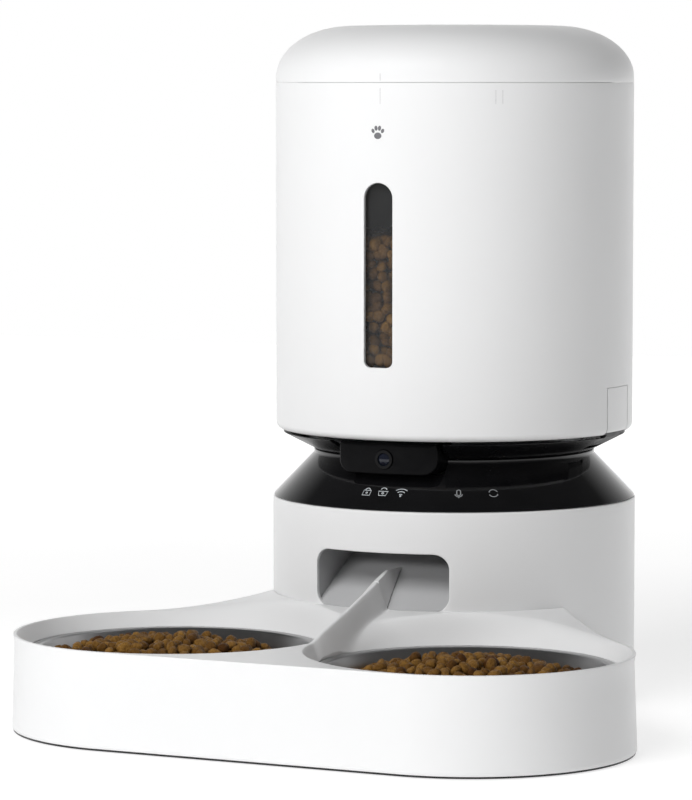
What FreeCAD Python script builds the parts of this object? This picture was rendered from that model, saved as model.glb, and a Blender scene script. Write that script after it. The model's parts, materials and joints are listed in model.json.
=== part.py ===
import FreeCAD, Part
import math
import os

# Automatic pet feeder with a twin-bowl tray, in millimetres, +Z up.
# Every sub-part is drawn about the column's own vertical axis, with the front towards -Y and the
# floor at z = 0. save() then moves it by AXIS_Y, so that the whole feeder is centred on the origin.

# ---- driving dimensions -------------------------------------------------------------------------
COLUMN_R = 97.5           # white base column
COLUMN_WALL = 2.5
COLUMN_BOTTOM = 1.6
COLUMN_TOP = 109.4
LIP_IN_R = 88.0           # inward lip at the top of the column
LIP_T = 3.0
BOSS_R = 4.5              # screw bosses inside the column
BOSS_CIRCLE = 82.0
BOSS_ANGLES = (45, 135, 225, 315)
GRILLE_Z = 52.0           # loudspeaker grille in the back, a square pattern without its corners
GRILLE_HOLE_R = 1.3
GRILLE_PITCH = 5.0
GRILLE_REACH = 2          # holes each side of the middle one
SOCKET_Z = 16.0           # power socket in the back
SOCKET_R = 5.6

TRAY_CX = 82.0            # bowl centres, each side of the middle
TRAY_CY = -164.0
TRAY_FOOT_R = 84.2        # end radius of the tray at its lower edge
TRAY_RIM_R = 82.5         # and at its rim
TRAY_RIM_Z = 50.0
TRAY_WALL = 2.4
DECK_ARC_R = 303.0        # the deck sweeps up to the column on this arc
DECK_FLAT_R = 168.0       # and is flat beyond this distance from the column's axis
COLUMN_GAP = 0.4
DISH_TOP_R = 81.6
BOWL_RIM_R = 75.5
BOWL_RIM_Z = 42.3
BOWL_FLOOR_Z = 7.0
STEEL_T = 1.0
SEAT_Z = 40.7
DISH_LOW_R = BOWL_RIM_R + 0.4
DISH_GROWTH = (DISH_TOP_R - DISH_LOW_R) / (TRAY_RIM_Z - BOWL_RIM_Z)
DISH_REACH_Z = 62.0
POCKET_R = BOWL_RIM_R - 3.0   # closed well that each bowl stands in
POCKET_WALL = 2.0
POCKET_Z0 = 2.9
TRAY_SCREWS = ((0.0, -238.0), (-92.0, -80.5), (92.0, -80.5))
FOOT_SPOTS = ((-120.0, -212.0), (120.0, -212.0), (-128.0, -118.0), (128.0, -118.0),
              (-40.0, -226.0), (40.0, -226.0))

CHUTE_HALF_W = 38.0
CHUTE_Z0 = 57.5
CHUTE_Z1 = 87.6
CHUTE_CORNER = 8.0
CHUTE_FLOOR_Z = 58.4      # food slope where it leaves the column
CHUTE_SLOPE = 0.596
CHUTE_BACK_Y = -28.0
CHUTE_WALL = 2.0
CHUTE_TOP = 109.6
OUTLET_BLOCK_Y = -62.0    # the duct's full height ends here, behind its sloping front
CREST_IN_Z = 76.9         # crest of the divider, level from where it leaves the slope
CREST_IN_Y = -66.5
CREST_BEND_Y = -84.6      # as far as here, and falling from here on
CREST_OUT_Z = 72.8        # where it meets the tray's ridge
DIVIDER_FOOT_W = 6.6      # half-width of its foot there
DIVIDER_GAP = 0.8         # between that foot and the slope

RING_R0 = 97.0            # glossy control ring, a 45 degree cone
RING_Z0 = 109.6
RING_R1 = 75.5
RING_Z1 = 132.5
RING_TOP = 134.7
CUP_Z0 = 135.0            # neck cup that carries the tank
CUP_Z1 = 144.0
CUP_R1 = 92.0
CAMERA_HALF_W = 28.0
CAMERA_FACE_R = 88.0
CAMERA_BACK_R = 71.0
CAMERA_Z0 = 127.5
LENS_Z = 135.4
ICON_ANGLES = (-6.0, 0.0, 6.5, 26.0, 37.7)
ICON_Z = 118.6

DRUM_R = 62.0             # dispensing drum
DRUM_WALL = 2.5
DRUM_FLOOR = 112.0
DRUM_TOP = 141.0
OUTLET_R0 = 27.0
OUTLET_R1 = 59.0
OUTLET_HALF_DEG = 25.0
VANES = 6
ROTOR_Z0 = 112.8
ROTOR_Z1 = 135.2

GEAR_MODULE = 1.0
GEAR_Z0 = 100.0
GEAR_Z1 = 105.0
OUTPUT_TEETH = 44
IDLER_TEETH = 56
PINION_TEETH = 14
GEAR_EXTRA_CENTRE = 0.1   # added to each centre distance for backlash
IDLER_DIRECTION = 90.0    # from the output gear, degrees
PINION_DIRECTION = 150.0  # from the idler
PLATE_Z0 = 93.0
PLATE_Z1 = 95.5
MOTOR_R = 13.5
RUNNING_GAP = 0.05

TANK_R = 95.8
TANK_WALL = 2.2
TANK_Z0 = 145.6
TANK_Z1 = 330.1
LEDGE_R = 92.6            # the liner hangs on this ledge inside the tank's top
LEDGE_Z = 328.8
TANK_EDGE = 3.5
LINER_R = 92.4
LINER_T = 1.6
SPOUT_R = 60.2
SPOUT_Z = 139.2
WINDOW_HALF_W = 8.05
WINDOW_Z0 = 183.6
WINDOW_Z1 = 279.1
TAB_HALF_W = 13.8
TAB_Z0 = 146.8            # the tab's lower edge; the black foot of its latch is below
HOOK_Z0 = 139.4           # lower end of the latch in the neck cup's notch
HOOK_WALL = 2.6
TAB_TOP = 170.2
TAB_SLIT = 0.5

LID_R = 95.8
LID_Z0 = 330.8
LID_SHOULDER_Z = 333.5
LID_SHOULDER_R = 56.0
LID_CREST_Z = 360.8
LID_TOP = 361.3
LID_WALL = 2.2
PLATE_R = 88.5            # seal plate of the lid
MARK_DEG = 0.8            # alignment marks: closed
MARK_OPEN_DEG = 38.2      # and open

CELL_R = 16.6             # D cell
CELL_LENGTH = 61.0
CELL_PITCH = 35.0
CELL_Z = 24.0
BOX_WALL = 1.8
BOARD_Z = 47.0            # main board, above the battery box

BASE_PLATE_Z0 = 3.2       # plate that closes the column from below
BASE_PLATE_Z1 = 5.4
DOOR_HALF_W = 54.0        # battery door, under that plate
DOOR_Y0 = -40.0
DOOR_Y1 = 33.0
DOOR_Z0 = 1.3
DOOR_Z1 = 2.8
DOOR_TRAVEL = 12.0
RAIL_GAP = 0.4

OVERALL_DEPTH = COLUMN_R + TRAY_FOOT_R - TRAY_CY
AXIS_Y = OVERALL_DEPTH / 2 - COLUMN_R

Z_AXIS = FreeCAD.Vector(0, 0, 1)
ORIGIN = FreeCAD.Vector(0, 0, 0)


# ---- helpers ------------------------------------------------------------------------------------
def vec(x, y, z=0.0):
    return FreeCAD.Vector(x, y, z)


def rod(radius, z0, z1, x=0.0, y=0.0):
    return Part.makeCylinder(radius, z1 - z0, vec(x, y, z0))


def tube(r_out, r_in, z0, z1, x=0.0, y=0.0):
    return rod(r_out, z0, z1, x, y).cut(rod(r_in, z0, z1, x, y))


def frustum(r0, r1, z0, z1, x=0.0, y=0.0):
    return Part.makeCone(r0, r1, z1 - z0, vec(x, y, z0))


def block(x0, x1, y0, y1, z0, z1):
    return Part.makeBox(x1 - x0, y1 - y0, z1 - z0, vec(x0, y0, z0))


def rod_along(radius, start, direction, length):
    return Part.makeCylinder(radius, length, start, direction)


def turned(shape, degrees):
    """The shape turned about the column's axis."""
    copy = shape.copy()
    copy.rotate(ORIGIN, Z_AXIS, degrees)
    return copy


def moved(shape, x=0.0, y=0.0, z=0.0):
    copy = shape.copy()
    copy.translate(vec(x, y, z))
    return copy


def mirrored(shape):
    """The shape's twin on the other side of the middle plane."""
    return shape.mirror(ORIGIN, vec(1, 0, 0))


def joined(shapes):
    result = shapes[0]
    for other in shapes[1:]:
        result = result.fuse(other)
    return result.removeSplitter()


def rounded_wire(points, radii):
    """A closed wire through the corner points, each corner rounded by its own radius."""
    count = len(points)
    entry = []
    for i in range(count):
        corner = points[i]
        radius = radii[i] if isinstance(radii, (list, tuple)) else radii
        back = (points[i - 1] - corner).normalize()
        ahead = (points[(i + 1) % count] - corner).normalize()
        half = back.getAngle(ahead) / 2
        if radius <= 0 or abs(half - math.pi / 2) < 1e-6:
            entry.append((corner, None, corner))
            continue
        setback = radius / math.tan(half)
        middle = (back + ahead).normalize()
        centre = corner + middle * (radius / math.sin(half))
        entry.append((corner + back * setback, centre - middle * radius, corner + ahead * setback))
    edges = []
    for i in range(count):
        start, bend, end = entry[i]
        if bend is not None:
            edges.append(Part.Arc(start, bend, end).toShape())
        following = entry[(i + 1) % count][0]
        if end.distanceToPoint(following) > 1e-6:
            edges.append(Part.LineSegment(end, following).toShape())
    return Part.Wire(edges)


def revolved(profile, radii=0.0, degrees=360.0, start=0.0):
    """A solid turned about the column's axis from (radius, height) corners."""
    points = [vec(r, 0, z) for r, z in profile]
    face = Part.Face(rounded_wire(points, radii))
    solid = face.revolve(ORIGIN, Z_AXIS, degrees)
    return turned(solid, start)


def prism_yz(profile, x0, x1, radii=0.0):
    points = [vec(x0, y, z) for y, z in profile]
    return Part.Face(rounded_wire(points, radii)).extrude(vec(x1 - x0, 0, 0))


def prism_xz(profile, y0, y1, radii=0.0):
    points = [vec(x, y0, z) for x, z in profile]
    return Part.Face(rounded_wire(points, radii)).extrude(vec(0, y1 - y0, 0))


def sector(r_in, r_out, z0, z1, half_degrees, middle_degrees):
    """A piece of a ring; the middle angle is counted from +X, anticlockwise."""
    profile = [(r_in, z0), (r_out, z0), (r_out, z1), (r_in, z1)]
    return revolved(profile, 0.0, 2 * half_degrees, middle_degrees - half_degrees)


def from_front(degrees):
    """An angle counted from the front (-Y) towards +X, as an angle from +X."""
    return degrees - 90.0


def on_circle(radius, degrees):
    return radius * math.cos(math.radians(degrees)), radius * math.sin(math.radians(degrees))


def save(name, shape):
    placed = moved(shape, 0, AXIS_Y, 0)
    if not placed.isValid():
        print("NOT VALID", name)
    placed.exportStep("parts/%s.step" % name)


# ---- base column --------------------------------------------------------------------------------
def chute_opening(extra=0.0):
    half = CHUTE_HALF_W + extra
    low = CHUTE_Z0 - extra
    high = CHUTE_Z1 + extra
    corners = [(-half, low), (half, low), (half, high), (-half, high)]
    return prism_xz(corners, -COLUMN_R - 20, -COLUMN_R + 20, CHUTE_CORNER + extra)


def grille_spots():
    """Square pattern of (x, z) places about the loudspeaker's centre, without its corners."""
    spots = []
    for row in range(-GRILLE_REACH, GRILLE_REACH + 1):
        for column in range(-GRILLE_REACH, GRILLE_REACH + 1):
            if abs(row) + abs(column) < 2 * GRILLE_REACH:
                spots.append((column * GRILLE_PITCH, GRILLE_Z + row * GRILLE_PITCH))
    return spots


def base_shell():
    inner = COLUMN_R - COLUMN_WALL
    profile = [(inner, COLUMN_BOTTOM), (COLUMN_R, COLUMN_BOTTOM), (COLUMN_R, COLUMN_TOP),
               (LIP_IN_R, COLUMN_TOP), (LIP_IN_R, COLUMN_TOP - LIP_T), (inner, COLUMN_TOP - LIP_T)]
    body = revolved(profile, [0, 0.5, 1.0, 0, 0, 0])
    bosses = []
    for angle in BOSS_ANGLES:
        x, y = on_circle(BOSS_CIRCLE, angle)
        post = rod(BOSS_R, BASE_PLATE_Z1, 30, x, y)
        rib = block(BOSS_CIRCLE, inner + 0.5, -1.5, 1.5, BASE_PLATE_Z1, 30)
        boss = post.fuse(turned(rib, angle)).cut(rod(1.45, BASE_PLATE_Z1, 24, x, y))
        bosses.append(boss)
    body = joined([body] + bosses)
    body = body.cut(chute_opening())
    body = body.cut(rod_along(SOCKET_R, vec(0, COLUMN_R - 8, SOCKET_Z), vec(0, 1, 0), 20))
    for x, z in grille_spots():
        body = body.cut(rod_along(GRILLE_HOLE_R, vec(x, COLUMN_R - 8, z), vec(0, 1, 0), 20))
    return body


def bottom_plate():
    disc = rod(COLUMN_R - COLUMN_WALL - 0.3, BASE_PLATE_Z0, BASE_PLATE_Z1)
    disc = disc.cut(block(-DOOR_HALF_W + 3, DOOR_HALF_W - 3, DOOR_Y0 + 4, DOOR_Y1 - 4, 0, 10))
    rails = []
    for side in (-1, 1):
        near = DOOR_HALF_W + RAIL_GAP
        wall = block(near, near + 2.4, DOOR_Y0, DOOR_Y1 + DOOR_TRAVEL, 0.5, BASE_PLATE_Z0)
        lip = block(near - 3.0, near, DOOR_Y0, DOOR_Y1 + DOOR_TRAVEL, 0.5, DOOR_Z0 - 0.35)
        rail = wall.fuse(lip)
        rails.append(rail if side > 0 else mirrored(rail))
    stop = block(-DOOR_HALF_W, DOOR_HALF_W, DOOR_Y0 - 3.0, DOOR_Y0 - RAIL_GAP, 0.5, BASE_PLATE_Z0)
    plate = joined([disc] + rails + [stop])
    for angle in BOSS_ANGLES:
        x, y = on_circle(BOSS_CIRCLE, angle)
        plate = plate.cut(rod(1.8, 0, 10, x, y))
    return plate


def base_screws():
    screws = []
    for angle in BOSS_ANGLES:
        x, y = on_circle(BOSS_CIRCLE, angle)
        head = rod(3.2, 1.6, BASE_PLATE_Z0, x, y).cut(block(x - 2, x + 2, y - 0.4, y + 0.4, 1.5, 2.3))
        screws.append(head.fuse(rod(1.45, BASE_PLATE_Z0, 20, x, y)))
    return Part.makeCompound(screws)


def foot_ring():
    profile = [(86.0, 0), (96.8, 0), (96.8, COLUMN_BOTTOM), (94.4, COLUMN_BOTTOM),
               (94.4, BASE_PLATE_Z0), (86.0, BASE_PLATE_Z0)]
    return revolved(profile)


def battery_door():
    door = block(-DOOR_HALF_W, DOOR_HALF_W, DOOR_Y0, DOOR_Y1, DOOR_Z0, DOOR_Z1)
    door = door.makeFillet(4.0, [e for e in door.Edges if abs(e.tangentAt(0).z) > 0.9])
    for i in range(5):
        y = DOOR_Y1 - 8 - 2.4 * i
        door = door.cut(block(-12, 12, y - 0.6, y + 0.6, DOOR_Z0 - 1, DOOR_Z0 + 0.5))
    return door


def battery_box():
    half = 1.5 * CELL_PITCH + 0.6
    outer = block(-half - BOX_WALL, half + BOX_WALL, DOOR_Y0 + 2, DOOR_Y1 - 2, BASE_PLATE_Z1, 43.0)
    inner = block(-half, half, DOOR_Y0 + 2 + BOX_WALL, DOOR_Y1 - 2 - BOX_WALL, 0, 43.0 - BOX_WALL)
    return outer.cut(inner)


def battery_cells():
    cells = []
    start = -3.5 - CELL_LENGTH / 2
    for i in (-1, 0, 1):
        x = i * CELL_PITCH
        can = rod_along(CELL_R, vec(x, start + 1.5, CELL_Z), vec(0, 1, 0), CELL_LENGTH - 1.5)
        button = rod_along(4.5, vec(x, start, CELL_Z), vec(0, 1, 0), 1.5)
        cells.append(can.fuse(button))
    return Part.makeCompound(cells)


def battery_contacts():
    """Leaf contacts at both ends of each cell."""
    leaves = []
    start = -3.5 - CELL_LENGTH / 2
    for i in (-1, 0, 1):
        x = i * CELL_PITCH
        leaves.append(block(x - 7, x + 7, start - 0.9, start - 0.4, CELL_Z - 8, CELL_Z + 8))
        end = start + CELL_LENGTH
        leaves.append(block(x - 7, x + 7, end + 0.3, end + 0.8, CELL_Z - 8, CELL_Z + 8))
    return Part.makeCompound(leaves)


def main_board():
    board = block(-50, 50, -18, 48, BOARD_Z, BOARD_Z + 1.6)
    for x in (-46, 46):
        for y in (-14, 44):
            board = board.cut(rod(1.6, BOARD_Z - 1, BOARD_Z + 3, x, y))
    return board


def board_components():
    top = BOARD_Z + 1.6
    chips = [block(-36, -20, 0, 16, top, top + 1.4), block(-8, 10, 18, 38, top, top + 2.2),
             block(22, 34, -6, 4, top, top + 6), block(22, 34, 12, 22, top, top + 6),
             block(-36, -22, 28, 36, top, top + 4), rod(4, top, top + 11, 38, 36)]
    return Part.makeCompound(chips)


def power_socket():
    """Round low-voltage socket in the back, with its centre pin."""
    back = COLUMN_R - 12.5
    body = block(-7, 7, back, COLUMN_R - COLUMN_WALL - 0.6, SOCKET_Z - 6, SOCKET_Z + 6)
    collar = rod_along(5.4, vec(0, back, SOCKET_Z), vec(0, 1, 0), COLUMN_R - 0.6 - back)
    body = body.fuse(collar)
    body = body.cut(rod_along(3.2, vec(0, back + 2.5, SOCKET_Z), vec(0, 1, 0), 20))
    pin = rod_along(1.0, vec(0, back + 1.0, SOCKET_Z), vec(0, 1, 0), COLUMN_R - 3 - back - 1.0)
    return body.fuse(pin)


def loudspeaker():
    face = 91.0
    frame = rod_along(18, vec(0, face - 3, GRILLE_Z), vec(0, 1, 0), 3)
    frame = frame.cut(rod_along(15, vec(0, face - 1.5, GRILLE_Z), vec(0, 1, 0), 3))
    magnet = rod_along(9, vec(0, face - 8, GRILLE_Z), vec(0, 1, 0), 5)
    dome = rod_along(5, vec(0, face - 1.5, GRILLE_Z), vec(0, 1, 0), 0.9)
    return joined([frame, magnet, dome])


# ---- food chute ---------------------------------------------------------------------------------
def chute_floor_z(radius):
    """Height of the food slope, a cone about the column's axis."""
    return CHUTE_FLOOR_Z + CHUTE_SLOPE * (COLUMN_R - radius)


def below_slope(raised=0.0):
    """Everything under the food slope, with the slope raised by a distance."""
    wide = COLUMN_R + 20.0
    narrow = 10.0
    low = chute_floor_z(wide) + raised
    cone = frustum(wide, narrow, low, chute_floor_z(narrow) + raised)
    return cone.fuse(rod(wide, 0, low))


def chute_sill():
    """Continues the slope through the mouth, to just inside the column's surface."""
    room = chute_opening(-0.15).common(tube(COLUMN_R - 0.15, COLUMN_R - COLUMN_WALL - 2.0, 0, 200))
    return room.common(below_slope())


def chute_duct():
    front = -COLUMN_R + COLUMN_WALL
    cavity = [(-COLUMN_R - 5, 40), (CHUTE_BACK_Y, 40), (CHUTE_BACK_Y, CHUTE_TOP - CHUTE_WALL),
              (OUTLET_BLOCK_Y, CHUTE_TOP - CHUTE_WALL), (front + 4, CHUTE_Z1), (-COLUMN_R - 5, CHUTE_Z1)]
    case = [(-COLUMN_R - 5, 40), (CHUTE_BACK_Y + CHUTE_WALL, 40), (CHUTE_BACK_Y + CHUTE_WALL, CHUTE_TOP),
            (OUTLET_BLOCK_Y - 2, CHUTE_TOP), (front + 2, CHUTE_Z1 + CHUTE_WALL),
            (-COLUMN_R - 5, CHUTE_Z1 + CHUTE_WALL)]
    half = CHUTE_HALF_W
    outer = prism_yz(case, -half - CHUTE_WALL, half + CHUTE_WALL).cut(below_slope(-CHUTE_WALL * 1.2))
    duct = outer.cut(prism_yz(cavity, -half, half).cut(below_slope()))
    duct = duct.cut(sector(OUTLET_R0, OUTLET_R1, CHUTE_TOP - 5, CHUTE_TOP + 5, OUTLET_HALF_DEG, -90))
    duct = duct.common(rod(COLUMN_R - COLUMN_WALL - 0.1, 0, 200))
    return duct.fuse(chute_sill())


def wedge_loft(sections):
    """A ridge lofted through (y, crest height, crest half-width, foot height, foot half-width)."""
    wires = []
    for y, crest, crest_w, foot, foot_w in sections:
        corners = [vec(-foot_w, y, foot), vec(foot_w, y, foot), vec(crest_w, y, crest),
                   vec(-crest_w, y, crest)]
        wires.append(Part.makePolygon(corners + corners[:1]))
    return Part.makeLoft(wires, True, True)


def chute_divider():
    """Blade that parts the food; it stands on a thin key, just clear of the slope either side."""
    tip_foot = chute_floor_z(-CREST_IN_Y) - 1.0
    bend_foot = chute_floor_z(-CREST_BEND_Y) - 0.6
    outer_foot = chute_floor_z(COLUMN_R) - 0.6
    tip = wedge_loft([(CREST_IN_Y, CREST_IN_Z, 0.4, tip_foot, 0.7),
                      (CREST_BEND_Y, CREST_IN_Z, 0.9, bend_foot, 4.0)])
    tail = wedge_loft([(CREST_BEND_Y, CREST_IN_Z, 0.9, bend_foot, 4.0),
                       (-COLUMN_R, CREST_OUT_Z, 1.3, outer_foot, DIVIDER_FOOT_W)])
    ridge = tip.fuse(tail).removeSplitter().common(rod(COLUMN_R - 0.1, 0, 200))
    key = ridge.common(block(-0.6, 0.6, -COLUMN_R + 3.0, 0, 0, 200)).cut(below_slope())
    return ridge.cut(below_slope(DIVIDER_GAP)).fuse(key).removeSplitter()


def food_sensors():
    """Infrared pair that looks across the chute."""
    right = rod_along(2.5, vec(CHUTE_HALF_W + CHUTE_WALL, -72, 84), vec(1, 0, 0), 6)
    return Part.makeCompound([right, mirrored(right)])


# ---- dispenser ----------------------------------------------------------------------------------
def dispenser_drum():
    flange_z = 109.6
    body = rod(90.0, flange_z, DRUM_FLOOR).fuse(rod(DRUM_R + DRUM_WALL, flange_z, DRUM_TOP))
    body = body.cut(rod(DRUM_R, DRUM_FLOOR, DRUM_TOP + 1))
    body = body.cut(sector(OUTLET_R0, OUTLET_R1, flange_z - 1, DRUM_FLOOR + 1, OUTLET_HALF_DEG, -90))
    return body.cut(rod(6.0, flange_z - 1, DRUM_FLOOR + 1))


def outlet_baffle():
    """Fixed plate over the outlet, so that only the rotor carries food to it."""
    return sector(16.0, DRUM_R - 0.2, 136.2, 138.2, OUTLET_HALF_DEG + 12, -90)


def shaft_bush():
    return tube(6.0, 3.0 + RUNNING_GAP, 109.6, DRUM_FLOOR)


def rotor():
    hub = rod(14.0, ROTOR_Z0, ROTOR_Z1)
    parts = [hub]
    for i in range(VANES):
        vane = block(12.0, 53.0, -1.6, 1.6, ROTOR_Z0, ROTOR_Z1)
        parts.append(turned(vane, (i + 0.5) * 360.0 / VANES))
    return joined(parts).cut(rod(3.0, ROTOR_Z0 - 1, ROTOR_Z1 + 1))


def rotor_flaps():
    flaps = []
    for i in range(VANES):
        grip = block(49.0, 53.0, 1.6, 2.8, ROTOR_Z0 + 1, ROTOR_Z1 - 1)
        blade = block(53.0, DRUM_R - 0.8, -0.7, 2.8, ROTOR_Z0 + 1, ROTOR_Z1 - 1)
        flaps.append(turned(grip.fuse(blade).removeSplitter(), (i + 0.5) * 360.0 / VANES))
    return Part.makeCompound(flaps)


def rotor_shaft():
    return rod(3.0, 93.0, 145.0)


def agitator():
    """Domed cap with three bent fingers that stir the food above the rotor."""
    cap = rod(15.5, 139.2, 146.0).fuse(frustum(15.5, 6.0, 146.0, 152.0))
    cap = cap.cut(rod(3.0, 138, 145.0))
    parts = [cap]
    for i in range(3):
        arm = block(10.0, 42.0, -3.0, 3.0, 140.6, 144.6)
        finger = block(36.0, 42.0, -3.0, 3.0, 144.0, 156.0)
        parts.append(turned(arm.fuse(finger), 30 + i * 120))
    return joined(parts)


def centre_at(x, y, direction, distance):
    return (x + distance * math.cos(math.radians(direction)),
            y + distance * math.sin(math.radians(direction)))


IDLER_X, IDLER_Y = centre_at(0, 0, IDLER_DIRECTION,
                             GEAR_MODULE * (OUTPUT_TEETH + IDLER_TEETH) / 2 + GEAR_EXTRA_CENTRE)
PINION_X, PINION_Y = centre_at(IDLER_X, IDLER_Y, PINION_DIRECTION,
                               GEAR_MODULE * (IDLER_TEETH + PINION_TEETH) / 2 + GEAR_EXTRA_CENTRE)


def mesh_phase(phase, teeth, direction, other_teeth):
    """Where a meshing gear has a tooth, in degrees, given its neighbour's phase and teeth."""
    offset = ((direction - phase) * teeth / 360.0) % 1.0
    return direction + 180.0 + (offset - 0.5) * 360.0 / other_teeth


def gear_disc(teeth, phase, z0, z1):
    """Involute spur gear about the origin, with a tooth centred on the phase angle."""
    pitch_r = GEAR_MODULE * teeth / 2
    base_r = pitch_r * math.cos(math.radians(20))
    tip_r = pitch_r + 0.85 * GEAR_MODULE
    root_r = pitch_r - 1.2 * GEAR_MODULE
    involute_at_pitch = math.tan(math.radians(20)) - math.radians(20)
    half_tooth = (math.pi * GEAR_MODULE / 2 - 0.16) / (2 * pitch_r)
    flank_start = max(root_r + 0.15, base_r)
    steps = 4
    corners = []
    for tooth in range(teeth):
        middle = math.radians(phase) + 2 * math.pi * tooth / teeth
        flank = []
        for i in range(steps + 1):
            radius = flank_start + (tip_r - flank_start) * i / steps
            roll = math.sqrt(max((radius / base_r) ** 2 - 1, 0))
            half = half_tooth + involute_at_pitch - (roll - math.atan(roll))
            flank.append((radius, half))
        root_half = flank[0][1] + 0.1 / root_r
        flank.insert(0, (root_r, root_half))
        for radius, half in flank:
            corners.append(vec(radius * math.cos(middle - half), radius * math.sin(middle - half), z0))
        for radius, half in reversed(flank):
            corners.append(vec(radius * math.cos(middle + half), radius * math.sin(middle + half), z0))
    face = Part.Face(Part.makePolygon(corners + corners[:1]))
    return face.extrude(vec(0, 0, z1 - z0))


IDLER_PHASE = mesh_phase(0.0, OUTPUT_TEETH, IDLER_DIRECTION, IDLER_TEETH)
PINION_PHASE = mesh_phase(IDLER_PHASE, IDLER_TEETH, PINION_DIRECTION, PINION_TEETH)


def output_gear():
    gear = gear_disc(OUTPUT_TEETH, 0.0, GEAR_Z0, GEAR_Z1)
    gear = gear.cut(tube(18.0, 9.0, GEAR_Z1 - 1.5, GEAR_Z1 + 1))
    return gear.fuse(rod(7.0, GEAR_Z0 - 1.0, GEAR_Z1 + 1.5)).cut(rod(3.0, 90, 120))


def idler_gear():
    gear = gear_disc(IDLER_TEETH, IDLER_PHASE, GEAR_Z0, GEAR_Z1)
    gear = gear.cut(tube(24.0, 9.0, GEAR_Z1 - 1.5, GEAR_Z1 + 1))
    for i in range(6):
        gear = gear.cut(turned(rod(4.0, 90, 120, 16.5, 0), i * 60 + 15))
    gear = gear.fuse(rod(6.0, GEAR_Z0 - 1.0, GEAR_Z1 + 1.0)).cut(rod(3.0 + RUNNING_GAP, 90, 120))
    return moved(gear, IDLER_X, IDLER_Y)


def idler_pin():
    pin = rod(3.0, PLATE_Z0 - 1.0, 107.5, IDLER_X, IDLER_Y)
    return pin.fuse(rod(5.0, 106.5, 107.7, IDLER_X, IDLER_Y))


def motor_pinion():
    gear = gear_disc(PINION_TEETH, PINION_PHASE, GEAR_Z0 - 0.5, GEAR_Z1 + 0.5).cut(rod(1.5, 90, 120))
    return moved(gear, PINION_X, PINION_Y)


def motor_shaft():
    return rod(1.5, 86.0, 106.5, PINION_X, PINION_Y)


def motor():
    can = rod(MOTOR_R, 56.0, PLATE_Z0, PINION_X, PINION_Y)
    bearing = rod(4.0, 53.5, 56.0, PINION_X, PINION_Y)
    nose = rod(4.0, PLATE_Z0, 94.6, PINION_X, PINION_Y)
    return joined([can, bearing, nose]).cut(rod(1.5 + RUNNING_GAP, 85.5, 100, PINION_X, PINION_Y))


def gearbox_case():
    """Open-topped gear case: a floor plate with a rim wall, closed above by the drum's floor."""
    outline = block(-46, 34, -25.2, 88, PLATE_Z0, 109.4).common(rod(87.4, 0, 200))
    cavity = block(-44.2, 32.2, -23.6, 86.2, PLATE_Z1, 120).common(rod(85.8, 0, 200))
    case = outline.cut(cavity)
    case = case.cut(rod(3.0 + RUNNING_GAP, 80, PLATE_Z1 + 1))
    case = case.cut(rod(3.0, 80, PLATE_Z1 + 1, IDLER_X, IDLER_Y))
    return case.cut(rod(4.0, 80, PLATE_Z1 + 1, PINION_X, PINION_Y))


# ---- neck ---------------------------------------------------------------------------------------
def camera_room():
    """The space that the camera housing takes out of the ring and the cup."""
    gap = 0.3
    half = CAMERA_HALF_W + gap
    room = block(-half, half, -110, -50, CAMERA_Z0 - gap, 150)
    return room.cut(rod(CAMERA_BACK_R - gap, 0, 200))


def control_ring():
    slope_wall = 3.0
    profile = [(RING_R0, RING_Z0), (RING_R0, RING_Z0 + 0.6), (RING_R1, RING_Z1), (RING_R1, RING_TOP),
               (RING_R1 - 2.6, RING_TOP), (RING_R1 - 2.6, RING_Z1 - 0.8), (RING_R0 - slope_wall, RING_Z0)]
    return revolved(profile).cut(camera_room())


def neck_cup():
    profile = [(65.0, CUP_Z0), (RING_R1, CUP_Z0), (CUP_R1, CUP_Z1), (CUP_R1 - 3.0, CUP_Z1),
               (RING_R1 - 1.5, CUP_Z0 + 2.2), (65.0, CUP_Z0 + 2.2)]
    cup = revolved(profile).cut(camera_room())
    for side in (-1, 1):
        notch = block(76, 96, -10.5, 10.5, 137.4, 146)
        cup = cup.cut(notch if side > 0 else mirrored(notch))
    return cup


def camera_housing():
    half = CAMERA_HALF_W
    corners = [(-half, CAMERA_Z0), (half, CAMERA_Z0), (half, CUP_Z1), (-half, CUP_Z1)]
    shell = prism_xz(corners, -100, -50, [7, 7, 1, 1])
    wall = 2.0
    inner_corners = [(-half + wall, CAMERA_Z0 + wall), (half - wall, CAMERA_Z0 + wall),
                     (half - wall, CUP_Z1 - wall), (-half + wall, CUP_Z1 - wall)]
    core = prism_xz(inner_corners, -100, -50, [5, 5, 0.5, 0.5]).common(rod(CAMERA_FACE_R - wall, 0, 200))
    shell = shell.common(rod(CAMERA_FACE_R, 0, 200)).cut(core).cut(rod(CAMERA_BACK_R, 0, 200))
    return shell.cut(rod_along(5.0, vec(0, -CAMERA_FACE_R - 3, LENS_Z), vec(0, 1, 0), 10))


def lens_barrel():
    barrel = rod_along(4.9, vec(0, -CAMERA_FACE_R - 0.8, LENS_Z), vec(0, 1, 0), 9)
    return barrel.cut(rod_along(3.4, vec(0, -CAMERA_FACE_R - 1, LENS_Z), vec(0, 1, 0), 6))


def lens_glass():
    ball = Part.makeSphere(6.0, vec(0, -CAMERA_FACE_R + 5.0, LENS_Z))
    return ball.common(rod_along(3.4, vec(0, -CAMERA_FACE_R - 2, LENS_Z), vec(0, 1, 0), 6.6))


def camera_board():
    board = block(-22, 22, -77.6, -76.0, 130.5, 141.5)
    sensor = block(-5.5, 5.5, -79.4, -77.6, LENS_Z - 5, LENS_Z + 5)
    return board.fuse(sensor)


def infrared_leds():
    leds = []
    for x in (-14, 14):
        can = rod_along(2.4, vec(x, -82.0, LENS_Z), vec(0, 1, 0), 4.4)
        leds.append(can.fuse(Part.makeSphere(2.4, vec(x, -82.0, LENS_Z))))
    return Part.makeCompound(leds)


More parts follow.
